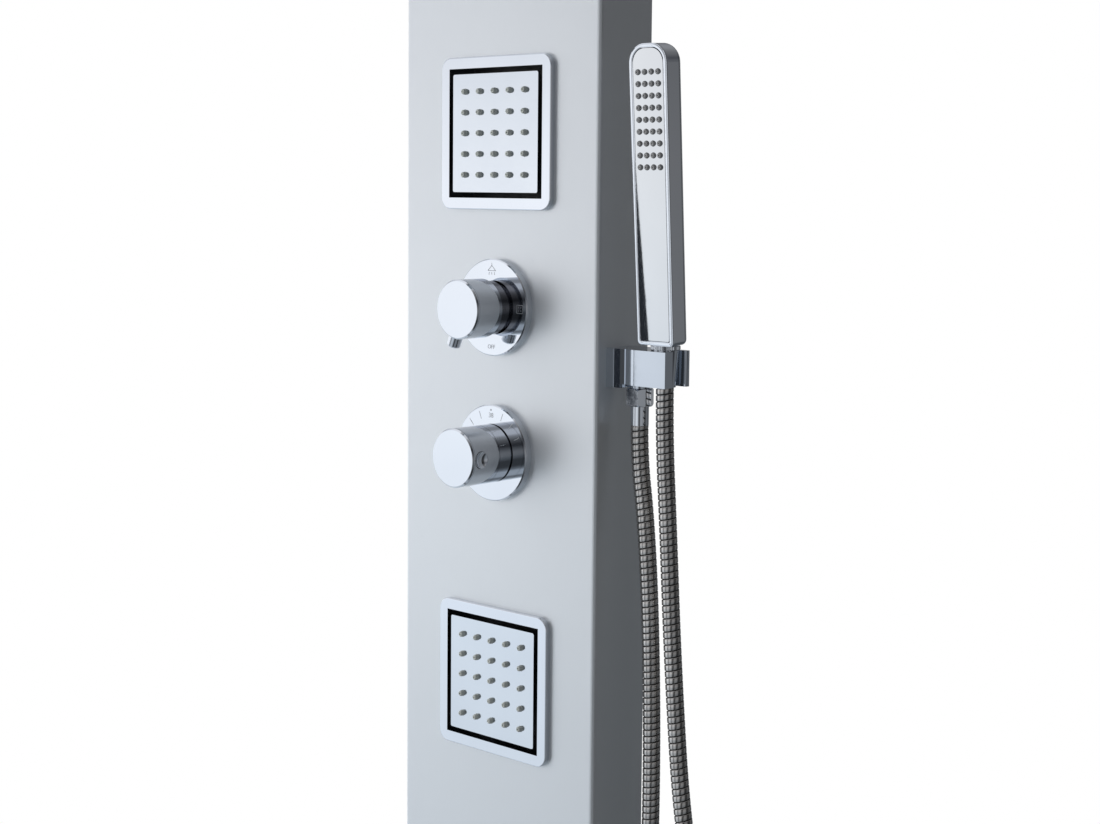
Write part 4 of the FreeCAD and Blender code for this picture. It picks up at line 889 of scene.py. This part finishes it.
def blendColours(tree, kind, first, second):
    mix = tree.nodes.new("ShaderNodeMix")
    mix.data_type = "RGBA"
    mix.blend_type = kind
    mix.inputs["Factor"].default_value = 1.0
    tree.links.new(first, mix.inputs[6])
    tree.links.new(second, mix.inputs[7])
    return mix.outputs[2]


def tentMaterial(t):
    # bright at the left and straight ahead of the panel, with grey and black bands beside that and
    # round the right and the back; the tone falls off above and below
    material = bareMaterial("tentCloth")
    tree = material.node_tree
    coords = tree.nodes.new("ShaderNodeTexCoord")
    bearing = tree.nodes.new("ShaderNodeTexGradient")
    bearing.gradient_type = "RADIAL"
    tree.links.new(coords.outputs["Object"], bearing.inputs["Vector"])
    bands = [(0.5 + turn / 360, (tone, tone, tone)) for turn, tone in t["round"]]
    around = colourRamp(tree, bearing.outputs["Fac"], bands)
    unit = tree.nodes.new("ShaderNodeVectorMath")
    unit.operation = "NORMALIZE"
    tree.links.new(coords.outputs["Object"], unit.inputs[0])
    parts = tree.nodes.new("ShaderNodeSeparateXYZ")
    tree.links.new(unit.outputs["Vector"], parts.inputs[0])
    rise = spread(tree, parts.outputs["Z"], 0.0, 1.0, -1.0, 1.0)
    layers = [(0.5 + math.sin(math.radians(turn)) / 2, tone) for turn, tone in t["up"]]
    walls = blendColours(tree, "MULTIPLY", around, colourRamp(tree, rise, layers))
    ceiling = spread(tree, parts.outputs["Z"], 0.0, t["ceiling"], *t["ceilingFrom"], "SMOOTHSTEP")
    glow = tree.nodes.new("ShaderNodeEmission")
    tree.links.new(blendColours(tree, "ADD", walls, ceiling), glow.inputs["Color"])
    end = tree.nodes.new("ShaderNodeOutputMaterial")
    tree.links.new(glow.outputs[0], end.inputs["Surface"])
    return material


def blackCloth(f):
    material = bareMaterial("blackCloth")
    tree = material.node_tree
    glow = tree.nodes.new("ShaderNodeEmission")
    glow.inputs["Color"].default_value = (*f["tone"], 1)
    end = tree.nodes.new("ShaderNodeOutputMaterial")
    tree.links.new(glow.outputs[0], end.inputs["Surface"])
    return material


def stageObject(name, bm, material):
    mesh = bpy.data.meshes.new(name)
    bm.to_mesh(mesh)
    bm.free()
    mesh.materials.append(material)
    thing = bpy.data.objects.new(name, mesh)
    scene.collection.objects.link(thing)
    return thing


def stagePlane(name, corners, material):
    bm = bmesh.new()
    bm.faces.new([bm.verts.new(c) for c in corners])
    return stageObject(name, bm, material)


def onlyInMirrors(thing):
    thing.visible_camera = False
    thing.visible_diffuse = False
    thing.visible_transmission = False
    thing.visible_shadow = False


def addFloor(s):
    half = s["floorHalf"]
    corners = [(-half, -half, 0), (half, -half, 0), (half, half, 0), (-half, half, 0)]
    floor = stagePlane("studioFloor", corners, floorMaterial(s))
    floor.location.z = s["floorZ"]
    floor.visible_glossy = False  # mirrors see the tent instead


def addTent(t):
    bm = bmesh.new()
    bmesh.ops.create_uvsphere(bm, u_segments=48, v_segments=24, radius=t["radius"])
    thing = stageObject("reflectionTent", bm, tentMaterial(t))
    thing.location = t["centre"]
    onlyInMirrors(thing)


def addFlag(name, f, away, eye, cloth):
    # each corner on the mirror face is sent on along the reflected line of sight
    lean = math.radians(f["lean"])
    normal = Vector((0, -math.cos(lean), -math.sin(lean)))
    spots = []
    for x, z in f["corners"]:
        spot = Vector((x, f["y"] - (z - f["z"]) * math.tan(lean), z))
        spots.append(spot + (spot - eye).normalized().reflect(normal) * away)
    onlyInMirrors(stagePlane(name, spots, cloth))


def addSoftbox(s):
    data = bpy.data.lights.new("keySoftbox", "AREA")
    data.shape = "RECTANGLE"
    data.size = s["wide"]
    data.size_y = s["high"]
    data.energy = s["watts"]
    lamp = bpy.data.objects.new("keySoftbox", data)
    scene.collection.objects.link(lamp)
    lamp.location = s["place"]
    aim = Vector(s["aim"]) - Vector(s["place"])
    lamp.rotation_euler = aim.to_track_quat("-Z", "Y").to_euler()
    lamp.visible_glossy = False
    lamp.visible_camera = False


makeWorld(studio)
addFloor(studio)
addTent(tent)
cloth = blackCloth(flags)
for name in ("plateFlag", "holderFlag"):
    addFlag(name, flags[name], flags["away"], Vector(viewpoint["place"]), cloth)
addSoftbox(softbox)
print("studio lit")
